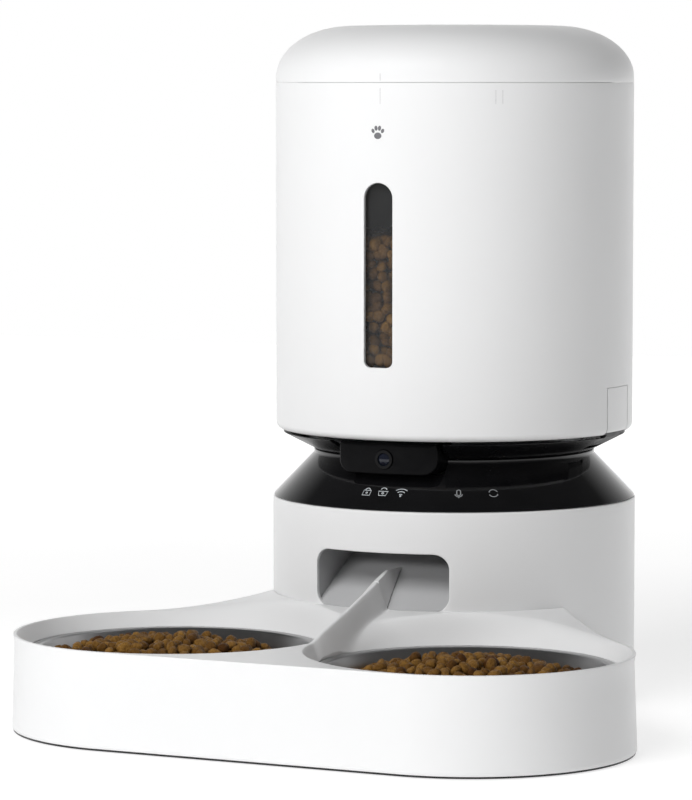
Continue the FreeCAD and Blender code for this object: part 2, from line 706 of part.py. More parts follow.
def ring_radius(z):
    return RING_R0 + (z - RING_Z0) * (RING_R1 - RING_R0) / (RING_Z1 - RING_Z0)


def touch_board():
    """Flexible touch board that follows the back of the sloping ring."""
    low, high = 113.5, 124.5
    profile = [(ring_radius(low) - 6.4, low), (ring_radius(low) - 4.6, low),
               (ring_radius(high) - 4.6, high), (ring_radius(high) - 6.4, high)]
    return revolved(profile, 0.0, 62.0, from_front(-14.0))


def light_guides():
    guides = []
    for degrees in ICON_ANGLES:
        radius = ring_radius(ICON_Z)
        guide = rod_along(2.0, vec(radius - 3.3, 0, ICON_Z), vec(-1, 0, -0.94), 0.8)
        guides.append(turned(guide, from_front(degrees)))
    return Part.makeCompound(guides)


def microphone():
    x, y = on_circle(78.0, from_front(26.0))
    return rod(3.0, 113.0, 116.0, x, y)


# ---- tank ---------------------------------------------------------------------------------------
def groove(radius, z0, z1, degrees, width, depth):
    """A thin vertical cutter that bites into a round wall."""
    return turned(block(radius - depth, radius + 2, -width / 2, width / 2, z0, z1), from_front(degrees))


def window_opening(extra=0.0):
    half = WINDOW_HALF_W + extra
    low = WINDOW_Z0 - extra
    high = WINDOW_Z1 + extra
    corners = [(-half, low), (half, low), (half, high), (-half, high)]
    top = half - 0.01
    return prism_xz(corners, -TANK_R - 5, -TANK_R + 12, [3.5, 3.5, top, top])


def tank_wall_full():
    inner = TANK_R - TANK_WALL
    profile = [(90.0, TANK_Z0), (TANK_R, TANK_Z0), (TANK_R, TANK_Z1), (inner, TANK_Z1),
               (inner, LEDGE_Z), (LEDGE_R, LEDGE_Z), (LEDGE_R, LEDGE_Z - 2.0), (inner, LEDGE_Z - 4.0),
               (inner, TANK_Z0 + TANK_WALL), (90.0, TANK_Z0 + TANK_WALL)]
    return revolved(profile, [0, TANK_EDGE, 0.6, 0, 0, 0, 0, 0, 1.3, 0])


def tab_region(extra):
    half = TAB_HALF_W + extra
    return block(85, 100, -half, half, TANK_Z0 - 5, TAB_TOP + extra)


def tank_shell():
    body = tank_wall_full()
    region = tab_region(TAB_SLIT)
    body = body.cut(region).cut(mirrored(region)).cut(window_opening())
    body = body.cut(groove(TANK_R, 319.7, 327.9, MARK_DEG, 0.6, 0.3))
    for degrees in (MARK_OPEN_DEG - 1.1, MARK_OPEN_DEG + 1.1):
        body = body.cut(groove(TANK_R, 319.7, 326.9, degrees, 0.5, 0.3))
    return body


def window_pane():
    return window_opening(-0.05).common(tube(TANK_R - 0.5, TANK_R - 2.0, 150, 300))


def tank_liner():
    inner = LINER_R - LINER_T
    rim = TANK_R - TANK_WALL - 0.2
    profile = [(inner, TANK_Z1), (rim, TANK_Z1), (rim, LEDGE_Z), (LINER_R, LEDGE_Z), (LINER_R, 185.4),
               (SPOUT_R, 153.2), (SPOUT_R, SPOUT_Z), (SPOUT_R - LINER_T, SPOUT_Z),
               (SPOUT_R - LINER_T, 153.9), (inner, 186.1)]
    return revolved(profile)


def tank_base_ring():
    ring = tube(89.8, SPOUT_R + 0.3, TANK_Z0, TANK_Z0 + 3.0).fuse(tube(69.2, 67.0, 138.4, TANK_Z0))
    for side in (-1, 1):
        notch = block(80, 96, -15, 15, 140, 160)
        ring = ring.cut(notch if side > 0 else mirrored(notch))
    return ring


def release_tab():
    tongue = tank_wall_full().common(tab_region(0.0)).cut(block(80, 100, -20, 20, 140, TAB_Z0))
    return tongue.cut(block(80, TANK_R - TANK_WALL, -20, 20, TAB_Z0 - 1, TAB_Z0 + 3.0))


def cup_flank_r(z):
    """Outer radius of the neck cup's cone."""
    return RING_R1 + (CUP_R1 - RING_R1) * (z - CUP_Z0) / (CUP_Z1 - CUP_Z0)


def release_hook():
    """Latch under the release tab: its foot closes the wall there, and its blade fills the notch
    in the neck cup, with an outer face that carries on the cup's flank."""
    top = TAB_Z0 - 0.2
    waist = CUP_Z1 + 0.2
    waist_r = cup_flank_r(waist)
    low_r = cup_flank_r(HOOK_Z0)
    outside = frustum(low_r, waist_r, HOOK_Z0, waist).fuse(frustum(waist_r, TANK_R - 1.6, waist, top))
    inside = frustum(low_r - HOOK_WALL, waist_r - HOOK_WALL, HOOK_Z0, waist)
    inside = inside.fuse(rod(waist_r - HOOK_WALL, waist, top))
    foot = block(80, TANK_R, -TAB_HALF_W + 0.4, TAB_HALF_W - 0.4, TANK_Z0 + 0.1, top)
    blade = block(80, TANK_R, -9.9, 9.9, HOOK_Z0, TANK_Z0 + 0.5)
    latch = foot.fuse(blade).common(outside).cut(inside)
    stem = block(90.6, 93.1, -9, 9, TANK_Z0 + 0.5, 160.0)
    return joined([latch, stem]).removeSplitter()


# ---- lid ----------------------------------------------------------------------------------------
def lid_profile(inset):
    """Outline of the lid's cover: straight skirt, elliptical shoulder, almost flat crown."""
    side = LID_R - inset
    crest = LID_CREST_Z - inset
    shoulder = Part.Ellipse(vec(side, 0, LID_SHOULDER_Z), vec(LID_SHOULDER_R, 0, crest),
                            vec(LID_SHOULDER_R, 0, LID_SHOULDER_Z))
    arc = Part.Arc(shoulder, 0, math.pi / 2)
    top = vec(0, 0, LID_TOP - inset)
    crown = Part.BezierCurve()
    crown.setPoles([vec(LID_SHOULDER_R, 0, crest), vec(LID_SHOULDER_R / 2, 0, LID_TOP - inset), top])
    low_z = LID_Z0 if inset == 0 else LID_Z0 - 1.0
    edges = [Part.LineSegment(vec(0, 0, low_z), vec(side, 0, low_z)).toShape(),
             Part.LineSegment(vec(side, 0, low_z), vec(side, 0, LID_SHOULDER_Z)).toShape(),
             arc.toShape(), crown.toShape(),
             Part.LineSegment(top, vec(0, 0, low_z)).toShape()]
    return Part.Face(Part.Wire(Part.__sortEdges__(edges)))


def lid_cover():
    outer = lid_profile(0.0).revolve(ORIGIN, Z_AXIS, 360)
    inner = lid_profile(LID_WALL).revolve(ORIGIN, Z_AXIS, 360)
    cover = outer.cut(inner)
    sleeve = tube(10.0, 7.0, 338.0, 359.6)
    ribs = [turned(block(9.5, 60.0, -0.9, 0.9, 352.0, 358.8), i * 60) for i in range(6)]
    cover = joined([cover, sleeve] + ribs)
    return cover.cut(groove(LID_R, LID_Z0 - 1, 335.5, MARK_DEG, 0.6, 0.3))


def lid_plate():
    """Seal plate that stays still while the cover turns."""
    disc = rod(PLATE_R, 321.0, 323.4)
    wall = tube(84.0, 81.8, 323.4, 338.0)
    post = rod(7.0 - RUNNING_GAP, 323.4, 356.0).cut(rod(1.5, 340, 357))
    cage = tube(27.0, 25.0, 309.0, 321.0)
    groove_ring = tube(PLATE_R + 1, 86.9, 321.8, 322.6)
    return joined([disc, wall, post, cage]).cut(groove_ring)


def lid_seal():
    profile = [(86.9, 321.8), (88.9, 321.8), (LINER_R - LINER_T - 0.3, 323.6), (89.4, 324.2),
               (88.6, 323.8), (88.5, 322.6), (86.9, 322.6)]
    return revolved(profile)


def lid_screw():
    return rod(3.6, 356.0, 357.6).fuse(rod(1.5, 341.0, 356.0))


def desiccant_bag():
    bag = rod(24.6, 311.5, 320.8)
    return bag.makeFillet(2.5, bag.Edges)


def desiccant_cap():
    cap = rod(27.0, 306.6, 308.8).fuse(tube(24.8, 23.2, 308.8, 311.2))
    for ring in (8, 16):
        for i in range(8):
            cap = cap.cut(turned(block(ring - 3, ring + 2, -1, 1, 300, 312), i * 45 + ring * 1.4))
    return cap


# ---- tray and bowls -----------------------------------------------------------------------------
def tray_outline(radius, z):
    """Two round ends joined by a straight front, with 45 degree shoulders towards the column."""
    turn = math.sqrt(0.5)
    low = vec(TRAY_CX, TRAY_CY - radius, z)
    bend = math.radians(-22.5)
    side = vec(TRAY_CX + radius * math.cos(bend), TRAY_CY + radius * math.sin(bend), z)
    shoulder = vec(TRAY_CX + radius * turn, TRAY_CY + radius * turn, z)
    reach = shoulder.x - 62.0
    inside = vec(shoulder.x - reach, shoulder.y + reach, z)

    def twin(point):
        return vec(-point.x, point.y, point.z)

    edges = [Part.Arc(low, side, shoulder).toShape(),
             Part.LineSegment(shoulder, inside).toShape(),
             Part.LineSegment(inside, twin(inside)).toShape(),
             Part.LineSegment(twin(inside), twin(shoulder)).toShape(),
             Part.Arc(twin(shoulder), twin(side), twin(low)).toShape(),
             Part.LineSegment(twin(low), low).toShape()]
    return Part.Wire(edges)


def end_radius(z):
    """Radius of the tray's round ends at a height, with the side wall's slight draft."""
    slope = (TRAY_FOOT_R - TRAY_RIM_R) / (TRAY_RIM_Z - COLUMN_BOTTOM)
    return TRAY_FOOT_R - slope * (z - COLUMN_BOTTOM)


def tray_block(inset, z0, z1):
    low = tray_outline(end_radius(z0) - inset, z0)
    high = tray_outline(end_radius(z1) - inset, z1)
    return Part.makeLoft([low, high], True, True)


def under_deck(drop):
    """Everything below the deck's surface, lowered by a drop."""
    near = 60.0
    centre_z = TRAY_RIM_Z + DECK_ARC_R

    def arc_z(radius):
        return centre_z - math.sqrt(DECK_ARC_R ** 2 - (DECK_FLAT_R - radius) ** 2) - drop

    middle = (near + DECK_FLAT_R) / 2
    arc = Part.Arc(vec(near, 0, arc_z(near)), vec(middle, 0, arc_z(middle)),
                   vec(DECK_FLAT_R, 0, TRAY_RIM_Z - drop))
    corners = [vec(DECK_FLAT_R, 0, TRAY_RIM_Z - drop), vec(320, 0, TRAY_RIM_Z - drop), vec(320, 0, -5),
               vec(near, 0, -5), vec(near, 0, arc_z(near))]
    edges = [arc.toShape()]
    for start, end in zip(corners[:-1], corners[1:]):
        edges.append(Part.LineSegment(start, end).toShape())
    return Part.Face(Part.Wire(edges)).revolve(ORIGIN, Z_AXIS, 360)


def dish_cone(x, drop):
    """The sloping surface round a bowl, as a solid cone that is open upwards."""
    top_r = DISH_LOW_R + DISH_GROWTH * (DISH_REACH_Z - BOWL_RIM_Z)
    return frustum(DISH_LOW_R, top_r, BOWL_RIM_Z - drop, DISH_REACH_Z - drop, x, TRAY_CY)


def tray_ridge():
    """Ridge that parts the food between the two bowls."""
    return wedge_loft([(-92.0, CREST_OUT_Z + 1.7, 1.2, 50.0, 9.0),
                       (-118.0, 66.2, 1.4, 49.0, 9.2),
                       (-140.0, 59.4, 1.4, 48.0, 7.6),
                       (-158.0, 54.2, 1.2, 47.0, 4.6),
                       (-173.0, 49.6, 0.6, 46.0, 1.4)])


def tray_shell():
    sides = (-TRAY_CX, TRAY_CX)
    column = rod(COLUMN_R + COLUMN_GAP, -10, 200)
    inner_column = rod(COLUMN_R + COLUMN_GAP + TRAY_WALL, -10, 200)
    outer = tray_block(0.0, COLUMN_BOTTOM, 70.0).common(under_deck(0.0))
    hollow = tray_block(TRAY_WALL, 0.0, 68.0).common(under_deck(TRAY_WALL)).cut(inner_column)
    shell = outer.cut(hollow)
    extras = [tray_ridge().common(outer.fuse(block(-20, 20, -180, -80, 45, 80)))]
    for x in sides:
        skirt = dish_cone(x, 3.0).fuse(rod(DISH_LOW_R + 2.0, SEAT_Z - 2.4, SEAT_Z, x, TRAY_CY))
        well = rod(POCKET_R + POCKET_WALL, POCKET_Z0, SEAT_Z - 1.0, x, TRAY_CY)
        extras.append(skirt.fuse(well).common(outer))
    for x, y in TRAY_SCREWS:
        extras.append(rod(4.0, 2.9, 60.0, x, y).common(outer))
    shell = joined([shell] + extras)
    for x in sides:
        shell = shell.cut(dish_cone(x, 0.0)).cut(rod(DISH_LOW_R, SEAT_Z, BOWL_RIM_Z, x, TRAY_CY))
        shell = shell.cut(rod(POCKET_R, 0, SEAT_Z + 1, x, TRAY_CY))
    for x, y in TRAY_SCREWS:
        shell = shell.cut(rod(1.45, 0, 20, x, y))
    return shell.cut(column).removeSplitter()


def tray_bottom_plate():
    rim = tray_block(0.6, 0.6, COLUMN_BOTTOM).cut(rod(COLUMN_R + COLUMN_GAP + 0.6, -10, 200))
    inner = tray_block(TRAY_WALL + 0.3, 0.6, 2.6).cut(rod(COLUMN_R + COLUMN_GAP + TRAY_WALL + 0.3, -10, 200))
    plate = inner.fuse(rim).removeSplitter()
    for x, y in TRAY_SCREWS:
        plate = plate.cut(rod(1.8, -1, 5, x, y))
    return plate


def tray_feet():
    return Part.makeCompound([rod(7.0, 0, 0.6, x, y) for x, y in FOOT_SPOTS])


def tray_screws():
    heads = [rod(3.0, 0.2, 0.6, x, y).fuse(rod(1.45, 0.6, 18, x, y)) for x, y in TRAY_SCREWS]
    return Part.makeCompound(heads)


def bowl():
    profile = [(0, BOWL_FLOOR_Z), (54, BOWL_FLOOR_Z), (67, 16), (71.6, 41.2), (BOWL_RIM_R, 41.2),
               (BOWL_RIM_R, BOWL_RIM_Z), (70.7, BOWL_RIM_Z), (66, 16.4), (53.6, BOWL_FLOOR_Z + STEEL_T),
               (0, BOWL_FLOOR_Z + STEEL_T)]
    radii = [0, 12, 14, 0.4, 0.45, 0.45, 1.2, 13, 11, 0]
    return revolved(profile, radii)


# ---- all pieces ---------------------------------------------------------------------------------
def save_all():
    base = {"base_shell": base_shell, "base_bottom_plate": bottom_plate, "base_screws": base_screws,
            "base_foot_ring": foot_ring, "battery_door": battery_door, "battery_box": battery_box,
            "battery_cells": battery_cells, "battery_contacts": battery_contacts,
            "main_board": main_board, "board_components": board_components,
            "power_socket": power_socket, "loudspeaker": loudspeaker,
            "chute_duct": chute_duct, "chute_divider": chute_divider, "food_sensors": food_sensors}
    dispenser = {"dispenser_drum": dispenser_drum, "outlet_baffle": outlet_baffle,
                 "shaft_bush": shaft_bush, "rotor": rotor, "rotor_flaps": rotor_flaps,
                 "rotor_shaft": rotor_shaft, "agitator": agitator, "output_gear": output_gear,
                 "idler_gear": idler_gear, "idler_pin": idler_pin, "motor_pinion": motor_pinion,
                 "motor_shaft": motor_shaft, "motor": motor, "gearbox_case": gearbox_case}
    neck = {"control_ring": control_ring, "neck_cup": neck_cup, "camera_housing": camera_housing,
            "lens_barrel": lens_barrel, "lens_glass": lens_glass, "camera_board": camera_board,
            "infrared_leds": infrared_leds, "touch_board": touch_board,
            "light_guides": light_guides, "microphone": microphone}
    tank = {"tank_shell": tank_shell, "window_pane": window_pane, "tank_liner": tank_liner,
            "tank_base_ring": tank_base_ring, "release_tab_right": release_tab,
            "release_hook_right": release_hook}
    lid = {"lid_cover": lid_cover, "lid_plate": lid_plate, "lid_seal": lid_seal,
           "lid_screw": lid_screw, "desiccant_bag": desiccant_bag, "desiccant_cap": desiccant_cap}
    tray = {"tray_shell": tray_shell, "tray_bottom_plate": tray_bottom_plate,
            "tray_feet": tray_feet, "tray_screws": tray_screws}
    for group in (base, dispenser, neck, tank, lid, tray):
        for name, make in group.items():
            save(name, make())
    save("release_tab_left", mirrored(release_tab()))
    save("release_hook_left", mirrored(release_hook()))
    save("bowl_left", moved(bowl(), -TRAY_CX, TRAY_CY))
    save("bowl_right", moved(bowl(), TRAY_CX, TRAY_CY))


os.makedirs("parts", exist_ok=True)
save_all()
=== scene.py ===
import json
import math
import random

import bmesh
import bpy
import numpy as np
from mathutils import Matrix, Vector, noise


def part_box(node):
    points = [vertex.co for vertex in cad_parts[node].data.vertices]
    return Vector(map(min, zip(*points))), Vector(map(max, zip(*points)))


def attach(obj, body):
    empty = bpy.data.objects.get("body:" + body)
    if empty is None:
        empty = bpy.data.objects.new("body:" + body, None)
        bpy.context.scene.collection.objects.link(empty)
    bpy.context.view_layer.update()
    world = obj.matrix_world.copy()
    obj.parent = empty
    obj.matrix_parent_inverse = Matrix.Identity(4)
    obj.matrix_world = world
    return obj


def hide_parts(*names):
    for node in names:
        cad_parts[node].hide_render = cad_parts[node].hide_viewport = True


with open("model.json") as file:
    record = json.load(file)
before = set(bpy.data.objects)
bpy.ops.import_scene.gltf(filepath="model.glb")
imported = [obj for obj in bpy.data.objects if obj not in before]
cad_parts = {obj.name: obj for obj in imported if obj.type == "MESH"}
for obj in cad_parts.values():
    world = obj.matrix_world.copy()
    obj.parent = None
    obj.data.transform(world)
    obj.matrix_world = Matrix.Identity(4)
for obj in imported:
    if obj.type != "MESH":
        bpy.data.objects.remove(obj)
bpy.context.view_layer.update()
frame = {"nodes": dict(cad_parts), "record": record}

# All lengths below are millimetres about the column's own axis, front towards -Y, floor at z = 0.
# place() turns them into the frame's metres.
MM = 0.001
TINY = 1e-6


def span(node):
    """Lowest and highest corner of a CAD node, in millimetres about the column's axis."""
    low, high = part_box(node)
    shift = Vector((COLUMN_X, COLUMN_Y, 0.0))
    return (Vector(low) - shift) / MM, (Vector(high) - shift) / MM


ring_low, ring_high = (Vector(corner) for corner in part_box("base_foot_ring"))
COLUMN_X = (ring_low.x + ring_high.x) / 2
COLUMN_Y = (ring_low.y + ring_high.y) / 2

# ---- sizes --------------------------------------------------------------------------------------
COLUMN_LOW, COLUMN_HIGH = span("base_shell")
COLUMN_R = COLUMN_HIGH.x
COLUMN_WALL = 2.5
LIP_IN_R = 88.0
TANK_LOW = span("tank_shell")[0]
TANK_R = 95.8
TANK_WALL = 2.2
TANK_EDGE = 3.5
TAB_LOW, TAB_HIGH = span("release_tab_right")
TAB_HALF_W = TAB_HIGH.y
TAB_FOOT = TAB_LOW.z
TAB_TOP = TAB_HIGH.z
TAB_SLIT = 0.5
TAB_SEAM = 0.16
TAB_INSET = 0.25
WINDOW_LOW, WINDOW_HIGH = span("window_pane")
WINDOW_HALF_W = WINDOW_HIGH.x + 0.05
LID_LOW, LID_HIGH = span("lid_cover")
LID_R = LID_HIGH.x
LID_SHOULDER_Z = LID_LOW.z + 2.7
LID_SHOULDER_R = 56.0
LID_CREST_Z = LID_HIGH.z - 0.5
LID_WALL = 2.2
LID_SEAM = 0.12

BOWL_LOW, BOWL_HIGH = span("bowl_right")
BOWL_R = (BOWL_HIGH.x - BOWL_LOW.x) / 2
BOWL_X = (BOWL_HIGH.x + BOWL_LOW.x) / 2
BOWL_Y = (BOWL_HIGH.y + BOWL_LOW.y) / 2
BOWL_RIM_Z = BOWL_HIGH.z
BOWL_FLOOR_Z = BOWL_LOW.z
TRAY_RIM_Z = 50.0
TRAY_FOOT_Z = 1.6
TRAY_FOOT_R = 84.2
TRAY_RIM_R = 82.5
TRAY_RIM_OUT = 0.9
TRAY_GAP_R = COLUMN_R + 0.2
TRAY_FLOOR_Z = 2.8
TRAY_FOOT_W = 2.4
DECK_ARC_R = 303.0
DECK_FLAT_R = 168.0
DISH_LOW_R = BOWL_R + 0.4
DISH_TOP_R = 81.6
SEAT_Z = 40.7
POCKET_R = BOWL_R - 3.0

MOUTH_HALF_W = 38.0
MOUTH_Z0 = 57.5
MOUTH_Z1 = 87.6
MOUTH_CORNER = 8.0
MOUTH_BORDER = 5.0
GRILLE_Z = 52.0
GRILLE_HOLE_R = 1.3
GRILLE_PITCH = 5.0
SOCKET_Z = 16.0
SOCKET_R = 5.6
SOCKET_BORDER = 8.75

RING_LOW, RING_HIGH = span("control_ring")
RING_R0 = 97.0
RING_R1 = 75.5
RING_SLOPE_FOOT = RING_LOW.z + 0.6
RING_SLOPE_TOP = 132.5
RING_SLOPE = (RING_R1 - RING_R0) / (RING_SLOPE_TOP - RING_SLOPE_FOOT)
CUP_LOW, CUP_HIGH = span("neck_cup")
CUP_R1 = 92.0
CUP_BORE_R = 65.0
CUP_NOTCH_R0 = 76.0
CUP_NOTCH_R1 = 96.0
CUP_NOTCH_HALF_W = 10.5
CUP_NOTCH_Z = 137.4
CAMERA_LOW, CAMERA_HIGH = span("camera_housing")
CAMERA_HALF_W = CAMERA_HIGH.x
CAMERA_FACE_R = 88.0
CAMERA_BACK_R = 71.0
CAMERA_GAP = 0.3
CAMERA_EDGE = 0.8
LENS_Z = 135.4
LENS_HOLE_R = 5.0
LENS_HOLE_DEPTH = 4.0
ICON_Z = 118.6
ICON_SCALE = 1.45
ICON_LINE = 0.29
ICON_LIFT = 0.04

PRINT_LIFT = 0.03
PAW_Z = 305.0
CLOSED_MARK_DEGREES = 0.8
OPEN_MARK_DEGREES = (37.1, 39.3)
LID_MARK = (331.6, 335.4)
CLOSED_MARK = (319.7, 327.9)
OPEN_MARK = (319.7, 326.9)

FOOD_SEED = 11
FOOD_IN_BOWL_R = 65.0
FOOD_HEAP_Z = 44.5
FOOD_IN_TANK_R = 86.4
FOOD_IN_TANK_Z0 = 186.0
FOOD_IN_TANK_Z1 = 250.0


# ---- placing and meshing ------------------------------------------------------------------------
def place(point):
    """A point's place in the frame, in metres."""
    x, y, z = point
    return (x * MM + COLUMN_X, y * MM + COLUMN_Y, z * MM)


def polar(radius, angle, z):
    """A point at an angle from the front, positive towards +X."""
    return (radius * math.sin(angle), -radius * math.cos(angle), z)


def between(a, b, t):
    """The flat point that lies the part t of the way from a to b."""
    return (a[0] + (b[0] - a[0]) * t, a[1] + (b[1] - a[1]) * t)


def top_corner(radius, top, edge, steps):
    """The rounded outer corner at the top of a round wall, as (radius, z)."""
    return [(radius - edge * (1 - math.cos(a)), top - edge + edge * math.sin(a))
            for a in (math.pi / 2 * s / steps for s in range(1, steps + 1))]


def join_loops(faces, loops):
    """Adds the faces between each closed loop of points and the next one."""
    for near, far in zip(loops[:-1], loops[1:]):
        for c in range(len(near)):
            d = (c + 1) % len(near)
            faces.append([near[c], near[d], far[d], far[c]])


def mounted(name, mesh, body, material):
    """A mesh as a smooth object of the scene, riding on a body."""
    mesh.shade_smooth()
    mesh.materials.append(material)
    obj = bpy.data.objects.new(name, mesh)
    bpy.context.scene.collection.objects.link(obj)
    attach(obj, body)
    return obj


def new_piece(name, points, faces, body, material):
    """A mesh piece from millimetre points, riding on a body."""
    mesh = bpy.data.meshes.new(name)
    mesh.from_pydata([place(p) for p in points], [], faces)
    mesh.validate()
    mesh.update()
    obj = mounted(name, mesh, body, material)
    return obj


def finish_edges(obj, width):
    """Rounds the sharp edges by a small radius and keeps the flat faces flat."""
    bevel = obj.modifiers.new("edge rounding", "BEVEL")
    bevel.width = width * MM
    bevel.segments = 2
    bevel.limit_method = "ANGLE"
    bevel.angle_limit = math.radians(35.0)
    bevel.harden_normals = True
    bevel.use_clamp_overlap = True


def smooth_by_angle(obj, degrees=30.0):
    """Sharp edges where faces meet at more than the angle, smooth elsewhere."""
    obj.data.set_sharp_from_angle(angle=math.radians(degrees))
    return obj


def rounded(points, radii, steps=5):
    """An open or closed outline's corner points, with each corner rounded by its own radius."""
    result = []
    count = len(points)
    for i, corner in enumerate(points):
        radius = radii[i]
        if radius <= 0:
            result.append(tuple(corner))
            continue
        here = np.array(corner, float)
        back = np.array(points[i - 1], float) - here
        ahead = np.array(points[(i + 1) % count], float) - here
        back /= np.linalg.norm(back)
        ahead /= np.linalg.norm(ahead)
        half = math.acos(max(-1.0, min(1.0, float(back @ ahead)))) / 2
        centre = here + (back + ahead) / np.linalg.norm(back + ahead) * radius / math.sin(half)
        start = here + back * radius / math.tan(half) - centre
        end = here + ahead * radius / math.tan(half) - centre
        sweep = math.pi - 2 * half
        for step in range(steps + 1):
            t = step / steps
            blend = (start * math.sin((1 - t) * sweep) + end * math.sin(t * sweep)) / math.sin(sweep)
            result.append(tuple(centre + blend))
    return result


def lathe(name, profile, body, material, segments=192, centre=(0.0, 0.0), closed=True):
    """A profile of (radius, z) turned about an axis. Points on the axis become poles."""
    points = []
    rings = []
    for radius, z in profile:
        if radius < TINY:
            rings.append([len(points)] * segments)
            points.append((centre[0], centre[1], z))
            continue
        rings.append(list(range(len(points), len(points) + segments)))
        for j in range(segments):
            x, y, _ = polar(radius, 2 * math.pi * j / segments, z)
            points.append((x + centre[0], y + centre[1], z))
    faces = []
    count = len(profile)
    for i in range(count if closed else count - 1):
        low, high = rings[i], rings[(i + 1) % count]
        if low[0] == low[1] and high[0] == high[1]:
            continue
        for j in range(segments):
            k = (j + 1) % segments
            corners = [low[j], low[k], high[k], high[j]]
            faces.append(list(dict.fromkeys(corners)))
    return smooth_by_angle(new_piece(name, points, faces, body, material))


def sector(name, profile, start, end, body, material, segments=24):
    """A closed profile turned through part of a circle, with flat ends."""
    points = []
    count = len(profile)
    for j in range(segments + 1):
        angle = start + (end - start) * j / segments
        points += [polar(radius, angle, z) for radius, z in profile]
    faces = []
    for j in range(segments):
        for i in range(count):
            k = (i + 1) % count
            faces.append([j * count + i, (j + 1) * count + i, (j + 1) * count + k, j * count + k])
    faces.append(list(range(count)))
    faces.append([segments * count + i for i in reversed(range(count))])
    return smooth_by_angle(new_piece(name, points, faces, body, material))


# ---- round walls with openings -------------------------------------------------------------------
class Columns:
    """Angles round a wall. In each block the lines lie at fixed distances from the block's middle
    plane, whatever the radius; between the blocks they are evenly spread."""

    def __init__(self, blocks, between):
        self.blocks = blocks
        self.between = between
        self.starts = []
        total = 0
        for _, lines in blocks:
            self.starts.append(total)
            total += len(lines) + between - 1
        self.count = total

    def index(self, block, offset):
        """The column of a block's line nearest to the offset."""
        lines = self.blocks[block][1]
        nearest = min(range(len(lines)), key=lambda i: abs(lines[i] - offset))
        return self.starts[block] + nearest

    def angles(self, radius):
        """The angle of every column on a wall of this radius."""
        result = []
        for b, (facing, lines) in enumerate(self.blocks):
            result += [facing + math.asin(u / radius) for u in lines]
            after_facing, after_lines = self.blocks[(b + 1) % len(self.blocks)]
            if b == len(self.blocks) - 1:
                after_facing += 2 * math.pi
            start = result[-1]
            end = after_facing + math.asin(after_lines[0] / radius)
            result += [start + (end - start) * k / self.between for k in range(1, self.between)]
        return result


class Opening:
    """A rounded opening: its middle and half-width across, its lower and upper edge, its corners."""

    def __init__(self, middle, half_w, z0, z1, low_r, high_r):
        self.middle, self.half_w = middle, half_w
        self.z0, self.z1, self.low_r, self.high_r = z0, z1, low_r, high_r

    def edge_point(self, u, z, border, extra):
        """The point of the edge, grown by extra, that answers to the border point (u, z)."""
        left, right, low, high = border
        side = 1.0 if u >= self.middle else -1.0
        upper = z > (self.z0 + self.z1) / 2
        corner_r = self.high_r if upper else self.low_r
        centre_u = self.middle + side * (self.half_w - corner_r)
        centre_z = self.z1 - corner_r if upper else self.z0 + corner_r
        edge_u = right if side > 0 else left
        edge_z = high if upper else low
        run_u = max(0.0, (u - centre_u) * side)
        run_z = max(0.0, (z - centre_z) * (1 if upper else -1))
        total_u = abs(edge_u - centre_u)
        total_z = abs(edge_z - centre_z)
        on_level_edge = abs(z - edge_z) < TINY
        if on_level_edge and run_u <= 1e-9:
            return (u, self.z1 + extra if upper else self.z0 - extra)
        if not on_level_edge and run_z <= 1e-9:
            return (self.middle + side * (self.half_w + extra), z)
        walked = run_u if on_level_edge else total_u + (total_z - run_z)
        turn = math.pi / 2 * walked / (total_u + total_z)
        radius = corner_r + extra
        return (centre_u + side * radius * math.sin(turn),
                centre_z + (1 if upper else -1) * radius * math.cos(turn))


